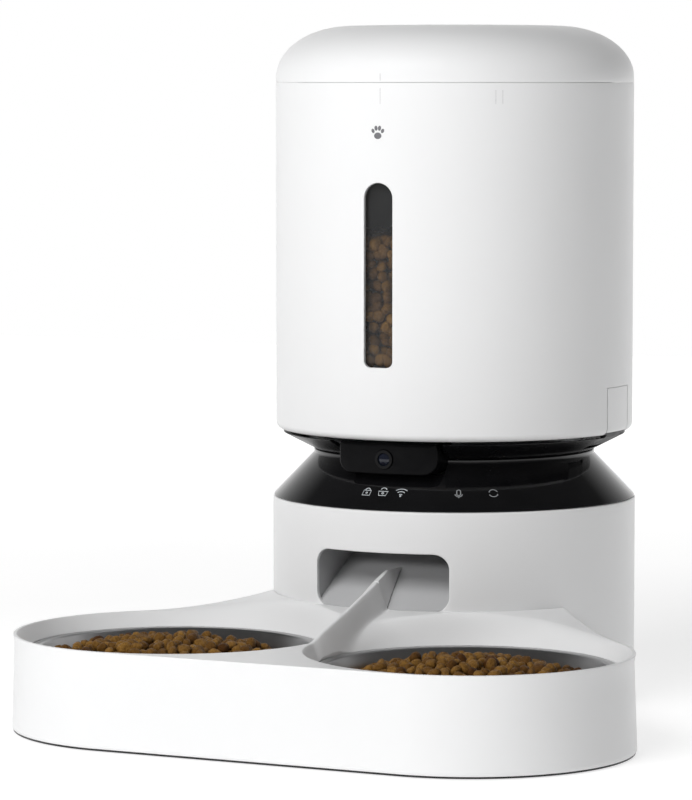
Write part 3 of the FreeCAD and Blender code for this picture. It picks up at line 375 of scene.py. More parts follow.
def ring_wall(name, outer_r, inner_r, levels, head, foot, columns, body, material,
              openings=(), notches=(), edge_r=0.5):
    """A round wall: levels up the outside, head over the top, levels down the inside, foot back.

    openings are (block, (left, right, low, high), Opening); notches are (block, left, right, top)
    and are cut up from the foot."""
    rows = [(outer_r, z) for z in levels] + head + [(inner_r, z) for z in reversed(levels)] + foot
    height = len(levels)
    inner_start = height + len(head)

    def inner_row(i):
        return inner_start + (height - 1 - i)

    points = []
    width = columns.count
    for radius, z in rows:
        points += [polar(radius, a, z) for a in columns.angles(radius)]
    skipped = set()
    faces = []

    def level_index(z):
        return min(range(height), key=lambda i: abs(levels[i] - z))

    for block, left, right, top in notches:
        j0, j1 = columns.index(block, left), columns.index(block, right)
        k = level_index(top)
        chain = list(range(inner_row(k), len(rows))) + list(range(0, k + 1))
        for i in chain[:-1]:
            for j in range(j0, j1):
                skipped.add((i, j))
        for j, flip in ((j0, False), (j1, True)):
            low_chain = [r * width + j for r in [*range(inner_row(0), len(rows)), 0]]
            faces.append(low_chain if flip else low_chain[::-1])
            for i in range(k):
                quad = [r * width + j for r in (inner_row(i), i, i + 1, inner_row(i + 1))]
                faces.append(quad if flip else quad[::-1])
        for j in range(j0, j1):
            inside, outside = inner_row(k) * width + j, k * width + j
            faces.append([outside, inside, inside + 1, outside + 1])

    for block, (left, right, low, high), opening in openings:
        j0, j1 = columns.index(block, left), columns.index(block, right)
        i0, i1 = level_index(low), level_index(high)
        facing = columns.blocks[block][0]
        for i in range(i0, i1):
            for j in range(j0, j1):
                skipped.add((i, j))
                skipped.add((inner_row(i + 1), j))
        cells = ([(i0, j) for j in range(j0, j1)] + [(i, j1) for i in range(i0, i1)]
                 + [(i1, j) for j in range(j1, j0, -1)] + [(i, j0) for i in range(i1, i0, -1)])
        lines = columns.blocks[block][1]
        start = columns.starts[block]
        border = [(lines[j - start], levels[i]) for i, j in cells]
        limits = (lines[j0 - start], lines[j1 - start], levels[i0], levels[i1])

        def on_wall(u, z, radius):
            return polar(radius, facing + math.asin(u / radius), z)

        loops = [[i * width + j for i, j in cells]]

        def add_loop(flat, radius):
            loops.append(list(range(len(points), len(points) + len(flat))))
            points.extend(on_wall(u, z, radius) for u, z in flat)

        grown = [opening.edge_point(u, z, limits, edge_r) for u, z in border]
        for t in (0.35, 0.7):
            add_loop([between(near, far, t) for near, far in zip(border, grown)], outer_r)
        for step in range(5):
            phi = math.pi / 2 * step / 4
            flat = [opening.edge_point(u, z, limits, edge_r * (1 - math.sin(phi))) for u, z in border]
            add_loop(flat, outer_r - edge_r * (1 - math.cos(phi)))
        straight = [opening.edge_point(u, z, limits, 0.0) for u, z in border]
        add_loop(straight, inner_r)
        add_loop([((gu + u) / 2, (gz + z) / 2) for (u, z), (gu, gz) in zip(border, straight)], inner_r)
        loops.append([inner_row(i) * width + j for i, j in cells])
        join_loops(faces, loops)

    for i in range(len(rows)):
        k = (i + 1) % len(rows)
        for j in range(width):
            if (i, j) in skipped:
                continue
            m = (j + 1) % width
            faces.append([i * width + j, i * width + m, k * width + m, k * width + j])
    obj = new_piece(name, points, faces, body, material)
    remove_loose(obj)
    return smooth_by_angle(obj, 40.0)


def remove_loose(obj):
    """Deletes points that no face uses."""
    mesh = obj.data
    used = set()
    for polygon in mesh.polygons:
        used.update(polygon.vertices)
    if len(used) == len(mesh.vertices):
        return
    order = sorted(used)
    renumber = {old: new for new, old in enumerate(order)}
    points = [tuple(mesh.vertices[i].co) for i in order]
    faces = [[renumber[v] for v in polygon.vertices] for polygon in mesh.polygons]
    material = mesh.materials[0]
    fresh = bpy.data.meshes.new(mesh.name)
    fresh.from_pydata(points, [], faces)
    fresh.update()
    fresh.shade_smooth()
    fresh.materials.append(material)
    obj.data = fresh


def spread(start, end, step):
    """Evenly spaced values from start to end, no further apart than step."""
    count = max(1, math.ceil(abs(end - start) / step - 1e-9))
    return [start + (end - start) * i / count for i in range(count + 1)]


def merged_levels(*lists):
    """All the heights of the lists in order, without near twins."""
    values = sorted({round(v, 4) for values in lists for v in values})
    result = [values[0]]
    for value in values[1:]:
        if value - result[-1] > 0.05:
            result.append(value)
    return result


# ---- materials ----------------------------------------------------------------------------------
class Surface:
    """A node material with object-space texture coordinates in millimetres."""

    def __init__(self, name, roughness=0.4, metallic=0.0, **sockets):
        self.material = bpy.data.materials.new(name)
        self.material.use_nodes = True
        self.tree = self.material.node_tree
        self.shader = self.tree.nodes["Principled BSDF"]
        self.shader.inputs["Roughness"].default_value = roughness
        self.shader.inputs["Metallic"].default_value = metallic
        for socket, value in sockets.items():
            self.shader.inputs[socket.replace("_", " ")].default_value = value
        coordinates = self.node("ShaderNodeTexCoord")
        self.coords = self.node("ShaderNodeMapping")
        self.coords.inputs["Scale"].default_value = (1 / MM, 1 / MM, 1 / MM)
        self.link(coordinates.outputs["Object"], self.coords.inputs["Vector"])
        self.height = None

    def node(self, kind, **settings):
        made = self.tree.nodes.new(kind)
        for key, value in settings.items():
            setattr(made, key, value)
        return made

    def link(self, output, socket):
        self.tree.links.new(output, socket)

    def noise(self, size_mm, detail=3.0, roughness=0.55, vector=None):
        texture = self.node("ShaderNodeTexNoise")
        texture.inputs["Scale"].default_value = 1.0 / size_mm
        texture.inputs["Detail"].default_value = detail
        texture.inputs["Roughness"].default_value = roughness
        self.link(vector or self.coords.outputs["Vector"], texture.inputs["Vector"])
        return texture.outputs["Fac"]

    def ramp(self, factor, low, high, start=0.3, end=0.7):
        """Colours from low to high as the factor goes from start to end."""
        ramp = self.node("ShaderNodeValToRGB")
        ramp.color_ramp.elements[0].position = start
        ramp.color_ramp.elements[1].position = end
        ramp.color_ramp.elements[0].color = (*low, 1.0)
        ramp.color_ramp.elements[1].color = (*high, 1.0)
        self.link(factor, ramp.inputs["Fac"])
        return ramp.outputs["Color"]

    def remap(self, factor, low, high, start=0.3, end=0.7):
        remap = self.node("ShaderNodeMapRange")
        remap.inputs["From Min"].default_value = start
        remap.inputs["From Max"].default_value = end
        remap.inputs["To Min"].default_value = low
        remap.inputs["To Max"].default_value = high
        self.link(factor, remap.inputs["Value"])
        return remap.outputs["Result"]

    def colour(self, output):
        self.link(output, self.shader.inputs["Base Color"])

    def rough(self, output):
        self.link(output, self.shader.inputs["Roughness"])

    def bump(self, output, depth_mm, strength=1.0):
        bump = self.node("ShaderNodeBump")
        bump.inputs["Strength"].default_value = strength
        bump.inputs["Distance"].default_value = depth_mm * MM
        self.link(output, bump.inputs["Height"])
        if self.height is not None:
            self.link(self.height, bump.inputs["Normal"])
        self.height = bump.outputs["Normal"]
        self.link(self.height, self.shader.inputs["Normal"])

    def coat(self, colours, colour_noise, gloss, gloss_noise, *bumps):
        """Colour, roughness and bumps, each from a noise given as (size, detail, roughness).

        A bump is its depth followed by its noise."""
        self.colour(self.ramp(self.noise(*colour_noise), *colours))
        self.rough(self.remap(self.noise(*gloss_noise), *gloss))
        for depth_mm, *texture in bumps:
            self.bump(self.noise(*texture), depth_mm)
        return self.material


def scaled(colour, factor):
    """The colour made lighter or darker."""
    return tuple(min(1.0, channel * factor) for channel in colour)


def moulded(name, colour, rough_low, rough_high, grain_mm=0.35, grain_depth=0.012, mottle=0.03, **sockets):
    """Moulded plastic: fine spark-eroded grain, slow waviness, slight mottling and uneven gloss."""
    surface = Surface(name, roughness=rough_high, **sockets)
    return surface.coat((scaled(colour, 1 - mottle), colour), (38.0, 4.0), (rough_low, rough_high),
                        (9.0, 5.0, 0.65), (0.05, 55.0, 1.0), (grain_depth, grain_mm, 2.0))


def white_plastic():
    """The satin white of the outer shells."""
    return moulded("white satin plastic", (0.745, 0.747, 0.75), 0.3, 0.4, 0.45, 0.006, 0.012)


def black_gloss(name, specular, rough_low, rough_high):
    """Black plastic with a slow waviness and uneven gloss."""
    surface = Surface(name, roughness=rough_high, Specular_IOR_Level=specular)
    return surface.coat(((0.002, 0.002, 0.0024), (0.0045, 0.0045, 0.005)), (20.0, 4.0),
                        (rough_low, rough_high), (14.0, 6.0, 0.7), (0.02, 30.0, 1.0))


def spun_steel(name, centres, rough_low, rough_high):
    """Steel with fine turning marks round an axis, given as (x, y) in millimetres."""
    surface = Surface(name, roughness=rough_high, metallic=1.0)
    offset = surface.node("ShaderNodeVectorMath", operation="SUBTRACT")
    axis = place((centres[0], centres[1], 0.0))
    offset.inputs[1].default_value = (axis[0] / MM, axis[1] / MM, 0.0)
    surface.link(surface.coords.outputs["Vector"], offset.inputs[0])
    flat = surface.node("ShaderNodeVectorMath", operation="MULTIPLY")
    flat.inputs[1].default_value = (1.0, 1.0, 0.0)
    surface.link(offset.outputs["Vector"], flat.inputs[0])
    reach = surface.node("ShaderNodeVectorMath", operation="LENGTH")
    surface.link(flat.outputs["Vector"], reach.inputs[0])
    parts = surface.node("ShaderNodeSeparateXYZ")
    surface.link(surface.coords.outputs["Vector"], parts.inputs["Vector"])
    rings = surface.node("ShaderNodeCombineXYZ")
    surface.link(reach.outputs["Value"], rings.inputs["X"])
    surface.link(parts.outputs["Z"], rings.inputs["Y"])
    marks = surface.noise(0.35, 3.0, 0.6, rings.outputs["Vector"])
    surface.colour(surface.ramp(surface.noise(22.0, 4.0), (0.4, 0.4, 0.405), (0.48, 0.48, 0.485)))
    surface.rough(surface.remap(marks, rough_low, rough_high))
    surface.bump(marks, 0.003)
    return surface.material


def plain_metal(name, low, high, rough_low, rough_high):
    """Metal with a fine tumbled grain."""
    surface = Surface(name, roughness=rough_high, metallic=1.0)
    return surface.coat((low, high), (4.0, 4.0), (rough_low, rough_high), (1.2, 5.0, 0.7), (0.006, 0.5, 3.0))


def rubber(name, colour):
    """Matt rubber with a dusty surface."""
    surface = Surface(name, roughness=0.7)
    return surface.coat((scaled(colour, 0.8), scaled(colour, 1.25)), (6.0, 5.0), (0.6, 0.85), (1.5, 4.0),
                        (0.03, 0.6, 3.0))


def clear_plastic(name, tint, alpha, rough_low, rough_high):
    """See-through plastic or glass with slightly uneven gloss."""
    surface = Surface(name, roughness=rough_high, Alpha=alpha, IOR=1.49)
    return surface.coat((scaled(tint, 0.9), tint), (30.0, 3.0), (rough_low, rough_high), (12.0, 5.0),
                        (0.02, 40.0, 1.0))


def circuit_board():
    """Green solder mask over a glass weave."""
    surface = Surface("circuit board", roughness=0.3)
    weave = surface.noise(2.5, 1.0, 0.4)
    surface.colour(surface.ramp(weave, (0.012, 0.07, 0.035), (0.03, 0.2, 0.09), 0.46, 0.54))
    surface.rough(surface.remap(surface.noise(3.0), 0.22, 0.4))
    surface.bump(weave, 0.04)
    return surface.material


def battery_jacket():
    """A dark printed sleeve with a copper band at one end."""
    surface = Surface("battery jacket", roughness=0.25, metallic=0.3)
    parts = surface.node("ShaderNodeSeparateXYZ")
    surface.link(surface.coords.outputs["Vector"], parts.inputs["Vector"])
    middle = place((0.0, -3.5, 0.0))[1] / MM
    band = surface.remap(parts.outputs["Y"], 0.0, 1.0, middle - 18.0, middle - 17.5)
    surface.colour(surface.ramp(band, (0.55, 0.3, 0.12), (0.03, 0.03, 0.035), 0.4, 0.6))
    surface.rough(surface.remap(surface.noise(6.0), 0.2, 0.32))
    surface.bump(surface.noise(1.0), 0.01)
    return surface.material


def cloth(name, colour):
    """Non-woven cloth with loose fibres."""
    surface = Surface(name, roughness=0.85)
    fibres = surface.noise(0.7, 6.0, 0.8)
    surface.colour(surface.ramp(fibres, scaled(colour, 0.85), colour))
    surface.rough(surface.remap(fibres, 0.8, 0.95))
    surface.bump(fibres, 0.15)
    return surface.material


def food():
    """Baked crumb: brown with a tone of its own for each piece, pores and a little fat shine."""
    surface = Surface("dry food", roughness=0.6)
    tone = surface.node("ShaderNodeAttribute", attribute_name="tone")
    low = surface.ramp(tone.outputs["Fac"], (0.075, 0.03, 0.006), (0.3, 0.16, 0.036), 0.0, 1.0)
    crumb = surface.noise(1.1, 6.0, 0.7)
    shade = surface.ramp(crumb, (0.42, 0.36, 0.3), (1.0, 1.0, 1.0), 0.32, 0.6)
    mix = surface.node("ShaderNodeMix", data_type="RGBA", blend_type="MULTIPLY")
    mix.inputs["Factor"].default_value = 1.0
    surface.link(low, mix.inputs["A"])
    surface.link(shade, mix.inputs["B"])
    surface.colour(mix.outputs["Result"])
    surface.rough(surface.remap(crumb, 0.75, 0.48))
    surface.bump(crumb, 0.35)
    surface.bump(surface.noise(0.35, 4.0), 0.08)
    return surface.material


def printed(name, colour):
    """A thin layer of printing ink."""
    surface = Surface(name, roughness=0.45)
    return surface.coat((scaled(colour, 0.85), colour), (0.8, 3.0), (0.4, 0.5), (1.0,), (0.004, 0.5))


def lit_icon(name, colour, glow):
    """A light guide with the lamp behind it lit."""
    surface = Surface(name, roughness=0.3, Emission_Strength=glow, Emission_Color=(*colour, 1.0))
    return surface.coat((scaled(colour, 0.85), colour), (0.6, 2.0), (0.25, 0.35), (1.0,))


def make_materials():
    """Every material by the name of its slot, node or piece."""
    return {
        "white_shell": white_plastic(),
        "grey_plastic": moulded("light grey plastic", (0.62, 0.63, 0.64), 0.42, 0.55, 0.5, 0.02),
        "black_gloss": black_gloss("polished black plastic", 0.4, 0.05, 0.13),
        "camera_case": black_gloss("black plastic of the camera case", 0.06, 0.16, 0.26),
        "lens_barrel": black_gloss("black plastic of the lens", 0.15, 0.2, 0.3),
        "neck": black_gloss("black plastic of the neck", 0.4, 0.2, 0.3),
        "black_plastic": moulded("black matt plastic", (0.013, 0.013, 0.014), 0.38, 0.52, 0.4, 0.02, 0.2),
        "rubber": rubber("black rubber", (0.02, 0.02, 0.02)),
        "silicone": rubber("pale silicone", (0.66, 0.67, 0.68)),
        "clear_plastic": clear_plastic("clear liner plastic", (0.5, 0.52, 0.54), 0.05, 0.06, 0.12),
        "smoked_plastic": clear_plastic("smoked window plastic", (0.02, 0.017, 0.015), 0.12, 0.03, 0.07),
        "lens_glass": clear_plastic("coated lens glass", (0.008, 0.01, 0.018), 0.96, 0.01, 0.03),
        "stainless_steel": plain_metal("machined steel", (0.5, 0.5, 0.5), (0.66, 0.66, 0.66), 0.2, 0.38),
        # painted shade: the chute gets a darker grey than the light grey plastic, standing in for the shade
        # inside the chute
        "chute_duct": moulded("chute plastic darkened as painted shade", (0.46, 0.462, 0.468), 0.42, 0.55, 0.5, 0.02),
        "gear_plastic": moulded("natural acetal", (0.72, 0.7, 0.64), 0.35, 0.5, 0.4, 0.01, 0.05),
        "brass": plain_metal("brass", (0.55, 0.36, 0.12), (0.7, 0.5, 0.2), 0.2, 0.35),
        "circuit_board": circuit_board(),
        "contact_plate": plain_metal("nickel plate", (0.6, 0.59, 0.56), (0.72, 0.71, 0.68), 0.15, 0.3),
        "battery_jacket": battery_jacket(),
        "desiccant_cloth": cloth("desiccant cloth", (0.78, 0.78, 0.75)),
        "food": food(),
        "mark": printed("grey print", (0.16, 0.16, 0.17)),
        "faint_mark": printed("faint grey print", (0.67, 0.67, 0.675)),
        "icon_on": lit_icon("lit icon", (0.5, 0.53, 0.55), 0.12),
        "icon_dim": lit_icon("dim icon", (0.3, 0.31, 0.32), 0.04),
        "bowl_left": spun_steel("spun steel of the left bowl", (-BOWL_X, BOWL_Y), 0.27, 0.32),
        "bowl_right": spun_steel("spun steel of the right bowl", (BOWL_X, BOWL_Y), 0.27, 0.32),
    }


def dress_cad_nodes(materials):
    """Every CAD node that stays shown gets its own material, or the one of its slot."""
    for entry in frame["record"]["subparts"]:
        node = frame["nodes"][entry["node"]]
        material = materials.get(entry["node"], materials[entry["material_slot"]])
        node.data.materials.clear()
        node.data.materials.append(material)
        for polygon in node.data.polygons:
            polygon.material_index = 0


# ---- base column --------------------------------------------------------------------------------
def grille_spots():
    """Square pattern of holes, left out at the corners, as (x, z)."""
    spots = []
    for row in range(-2, 3):
        for column in range(-2, 3):
            if abs(row) + abs(column) < 4:
                spots.append((column * GRILLE_PITCH, GRILLE_Z + row * GRILLE_PITCH))
    return spots


def base_column(material):
    """The base's outer wall with the mouth in front, and the grille and the socket hole behind."""
    half = GRILLE_PITCH / 2
    border_w = MOUTH_HALF_W + MOUTH_BORDER
    straight = MOUTH_HALF_W - MOUTH_CORNER
    front = sorted({-border_w, border_w, *spread(-straight, straight, 4.0), 0.0,
                    *spread(straight, border_w, 2.6), *[-v for v in spread(straight, border_w, 2.6)]})
    back = [round(-2.5 * GRILLE_PITCH + GRILLE_PITCH * i / 4, 4) for i in range(21)]
    columns = Columns([(0.0, front), (math.pi, back)], 44)
    grille_low = GRILLE_Z - 2.5 * GRILLE_PITCH
    grille_rows = [grille_low + GRILLE_PITCH * i / 4 for i in range(21)]
    mouth_rows = (spread(MOUTH_Z0 - MOUTH_BORDER, MOUTH_Z0 + MOUTH_CORNER, 2.6)
                  + spread(MOUTH_Z0 + MOUTH_CORNER, MOUTH_Z1 - MOUTH_CORNER, 4.0)
                  + spread(MOUTH_Z1 - MOUTH_CORNER, MOUTH_Z1 + MOUTH_BORDER, 2.6))
    socket_rows = [SOCKET_Z - SOCKET_BORDER + 1.25 * i for i in range(15)]
    bottom, top = COLUMN_LOW.z, COLUMN_HIGH.z
    levels = merged_levels([bottom + 0.4], socket_rows, grille_rows, mouth_rows,
                           spread(MOUTH_Z1 + MOUTH_BORDER, top - 1.0, 4.0))
    inner = COLUMN_R - COLUMN_WALL
    head = top_corner(COLUMN_R, top, 1.0, 5)
    head += [(93.0, top), (LIP_IN_R, top), (LIP_IN_R, top - 0.3)]
    foot = [(inner, bottom), (COLUMN_R - 0.4, bottom), (COLUMN_R - 0.12, bottom + 0.12)]
    openings = [(0, (-border_w, border_w, MOUTH_Z0 - MOUTH_BORDER, MOUTH_Z1 + MOUTH_BORDER),
                 Opening(0.0, MOUTH_HALF_W, MOUTH_Z0, MOUTH_Z1, MOUTH_CORNER, MOUTH_CORNER))]
    for x, z in grille_spots():
        openings.append((1, (x - half, x + half, z - half, z + half),
                         Opening(x, GRILLE_HOLE_R, z - GRILLE_HOLE_R, z + GRILLE_HOLE_R,
                                 GRILLE_HOLE_R, GRILLE_HOLE_R)))
    openings.append((1, (-SOCKET_BORDER, SOCKET_BORDER, SOCKET_Z - SOCKET_BORDER, SOCKET_Z + SOCKET_BORDER),
                     Opening(0.0, SOCKET_R, SOCKET_Z - SOCKET_R, SOCKET_Z + SOCKET_R, SOCKET_R, SOCKET_R)))
    piece = ring_wall("base_column", COLUMN_R, inner, levels, head, foot, columns, "base",
                      material, openings, edge_r=0.45)
    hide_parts("base_shell")


# ---- tank ---------------------------------------------------------------------------------------
def tank_foot(inner):
    """The tank wall's lower edge: inner corner, inward lip and rounded outer corner."""
    bottom = TANK_LOW.z
    lip = bottom + TANK_WALL
    outer = [(TANK_R - TANK_EDGE * (1 - math.sin(a)), bottom + TANK_EDGE * (1 - math.cos(a)))
             for a in (math.pi / 2 * s / 7 for s in range(0, 7))]
    return [(inner, lip), (90.0, lip), (90.0, bottom)] + outer


def tank_body(material):
    """The tank's outer wall with its window and the two slots for the release tabs."""
    inner = TANK_R - TANK_WALL
    border = 13.0
    front = sorted({*spread(-border, border, 1.6), 0.0})
    tab = TAB_HALF_W + TAB_SLIT
    side = sorted({*spread(-tab, tab, 4.0)})
    back = [-4.0, 0.0, 4.0]
    columns = Columns([(0.0, front), (math.pi / 2, side), (math.pi, back), (1.5 * math.pi, side)], 24)
    window_low, window_high = WINDOW_LOW.z - 0.05, WINDOW_HIGH.z + 0.05
    levels = merged_levels([TANK_LOW.z + TANK_EDGE], spread(TANK_LOW.z + TANK_EDGE, TAB_TOP + TAB_SLIT, 4.0),
                           spread(TAB_TOP + TAB_SLIT, window_low - 5.0, 4.0),
                           spread(window_low - 5.0, window_low + 3.5, 1.2),
                           spread(window_low + 3.5, window_high - WINDOW_HALF_W, 5.0),
                           spread(window_high - WINDOW_HALF_W, window_high + 5.0, 1.4),
                           spread(window_high + 5.0, LID_LOW.z - LID_SEAM - 0.3, 6.0))
    top = LID_LOW.z - LID_SEAM
    head = top_corner(TANK_R, top, 0.3, 4) + [(inner, top)]
    openings = [(0, (-border, border, window_low - 5.0, window_high + 5.0),
                 Opening(0.0, WINDOW_HALF_W, window_low, window_high, 3.5, WINDOW_HALF_W - 0.02))]
    notches = [(1, -tab, tab, TAB_TOP + TAB_SLIT), (3, -tab, tab, TAB_TOP + TAB_SLIT)]
    piece = ring_wall("tank_body", TANK_R, inner, levels, head, tank_foot(inner), columns, "tank",
                      material, openings, notches, edge_r=0.5)
    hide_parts("tank_shell")


def release_tabs(material):
    """The two tabs that fill the slots in the tank's wall."""
    inner = TANK_R - TANK_WALL
    foot = [(inner, TAB_FOOT)] + [point for point in tank_foot(inner)[3:] if point[1] > TAB_FOOT]
    top = TAB_TOP + TAB_SLIT - TAB_SEAM
    profile = foot + [(TANK_R, max(TAB_FOOT, TANK_LOW.z + TANK_EDGE)), (TANK_R, top), (inner, top)]
    for side, facing in (("right", math.pi / 2), ("left", -math.pi / 2)):
        reach = math.asin((TAB_HALF_W - TAB_INSET) / TANK_R)
        piece = sector("tab_" + side, profile, facing - reach, facing + reach, "release_tab_" + side,
                       material)
        finish_edges(piece, 0.25)
        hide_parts("release_tab_" + side)


# ---- lid ----------------------------------------------------------------------------------------
def lid_curve(inset, steps):
    """Half outline of the lid from the skirt to the crown, as (radius, z)."""
    a = LID_R - inset - LID_SHOULDER_R
    b = LID_CREST_Z - inset - LID_SHOULDER_Z
    result = []
    for step in range(steps + 1):
        t = math.pi / 2 * step / steps
        result.append((LID_SHOULDER_R + a * math.cos(t), LID_SHOULDER_Z + b * math.sin(t)))
    for radius in (48.0, 36.0, 24.0, 12.0, 4.0):
        rise = 0.5 * (1 - (radius / LID_SHOULDER_R) ** 2)
        result.append((radius, LID_CREST_Z - inset + rise))
    return result


def lid_top(material):
    """The domed lid, hollow below."""
    outer = [(LID_R - 0.25, LID_LOW.z), (LID_R - 0.07, LID_LOW.z + 0.07), (LID_R, LID_LOW.z + 0.25)]
    outer += lid_curve(0.0, 28)
    inner = list(reversed(lid_curve(LID_WALL, 12))) + [(LID_R - LID_WALL, LID_LOW.z)]
    profile = outer + [(0.0, LID_HIGH.z)] + [(0.0, LID_HIGH.z - LID_WALL)] + inner
    piece = lathe("lid_top", profile, "lid_cover", material, 256)
    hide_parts("lid_cover")


def tick(name, angle, radius, z0, z1, width, body, material):
    """A thin printed alignment line on a round wall."""
    half = width / 2 / radius
    points = [polar(radius + PRINT_LIFT, angle + s * half, z) for z in (z0, z1) for s in (-1, 0, 1)]
    faces = [[0, 1, 4, 3], [1, 2, 5, 4]]
    new_piece(name, points, faces, body, material)


def alignment_ticks(material):
    """One line on the lid, one on the tank where the lid is closed and two where it is open."""
    closed = math.radians(CLOSED_MARK_DEGREES)
    tick("lid_tick", closed, LID_R, *LID_MARK, 0.6, "lid_cover", material)
    tick("closed_tick", closed, TANK_R, *CLOSED_MARK, 0.6, "tank", material)
    for degrees in OPEN_MARK_DEGREES:
        tick("open_tick_%d" % degrees, math.radians(degrees), TANK_R, *OPEN_MARK, 0.5, "tank", material)


# ---- tray ---------------------------------------------------------------------------------------
def smooth_min(a, b, k):
    """The lower of two heights, blended where they are nearer than k."""
    gap = np.maximum(k - np.abs(a - b), 0.0)
    return np.minimum(a, b) - gap * gap / (4 * k)


def smooth_max(a, b, k):
    """The higher of two heights, blended where they are nearer than k."""
    return -smooth_min(-a, -b, k)


def deck_height(x, y):
    """Top surface of the tray: the deck's sweep, the dishes round the bowls and the ridge."""
    reach = np.hypot(x, y)
    run = np.clip(DECK_FLAT_R - reach, 0.0, None)
    deck = TRAY_RIM_Z + DECK_ARC_R - np.sqrt(DECK_ARC_R ** 2 - run ** 2)
    away = np.hypot(np.abs(x) - BOWL_X, y - BOWL_Y)
    steepness = (TRAY_RIM_Z - BOWL_RIM_Z) / (DISH_TOP_R - DISH_LOW_R)
    near_column = np.clip((116.0 - reach) / 16.0, 0.0, 1.0)
    off_bowl = np.clip((away - DISH_LOW_R) / 9.0, 0.0, 1.0)
    steeper = 8.0 * near_column ** 2 * (3 - 2 * near_column) * off_bowl
    dish = BOWL_RIM_Z + (away - DISH_LOW_R) * steepness + steeper
    softness = np.interp(reach, [98.0, 108.0, 140.0, 172.0], [4.0, 8.0, 8.0, 0.5])
    base = smooth_min(deck, dish, softness)
    crest = np.interp(-y, [84.6, 97.5, 112.0, 128.0, 145.0, 161.0, 173.0, 190.0],
                      [76.9, 72.8, 67.9, 62.9, 58.3, 53.9, 49.8, 43.0])
    slope = np.interp(-y, [97.9, 118.0, 150.0, 165.0, 175.0], [2.83, 2.6, 2.3, 1.9, 1.0])
    half_top = np.interp(-y, [97.9, 112.0], [1.35, 0.4])
    round_off = np.interp(-y, [97.9, 112.0], [0.15, 0.9])
    beyond = np.maximum(np.abs(x) - half_top, 0.0)
    ridge = crest - slope * (np.sqrt(beyond ** 2 + round_off ** 2) - round_off)
    foot = np.interp(-y, [97.9, 120.0, 145.0, 165.0], [1.0, 2.8, 2.0, 1.0])
    return np.where(ridge > base - 6.0, smooth_max(base, ridge, foot), base)


def tray_boundary(count):
    """Plan outline of the tray's right half, as (x, y, normal, free) seen from the bowl's centre.

    It runs anticlockwise from the middle of the front. free is False along the middle plane."""
    turn = math.sqrt(0.5)
    radius = TRAY_RIM_R + TRAY_RIM_OUT
    shoulder = (BOWL_X + radius * turn, BOWL_Y + radius * turn)
    total = shoulder[0] + shoulder[1]
    # where the 45 degree shoulder line x + y = total meets the column's circle
    half = total / 2
    apart = math.sqrt(TRAY_GAP_R ** 2 / 2 - half ** 2)
    meet = (half + apart, half - apart)
    result = []
    front = count // 7
    for i in range(front):
        x = BOWL_X * i / front
        result.append((x, BOWL_Y - radius, (0.0, -1.0), True))
    arc = 3 * count // 7
    for i in range(arc):
        angle = -math.pi / 2 + math.radians(135.0) * i / arc
        result.append((BOWL_X + radius * math.cos(angle), BOWL_Y + radius * math.sin(angle),
                       (math.cos(angle), math.sin(angle)), True))
    line = count // 7
    for i in range(line):
        result.append((*between(shoulder, meet, i / line), (turn, turn), True))
    start = math.atan2(meet[0], -meet[1])
    column = count // 7
    for i in range(column):
        angle = start * (1 - i / column)
        normal = (-math.sin(angle), math.cos(angle))
        if i == 0:
            normal = tuple((np.array(normal) + np.array((turn, turn))) / 1.3)
        result.append((TRAY_GAP_R * math.sin(angle), -TRAY_GAP_R * math.cos(angle), normal, True))
    middle = count // 7
    for i in range(middle):
        y = -TRAY_GAP_R + (BOWL_Y - radius + TRAY_GAP_R) * i / middle
        result.append((0.0, y, (0.0, 1.0) if i == 0 else (-1.0, 0.0), i == 0))
    return result


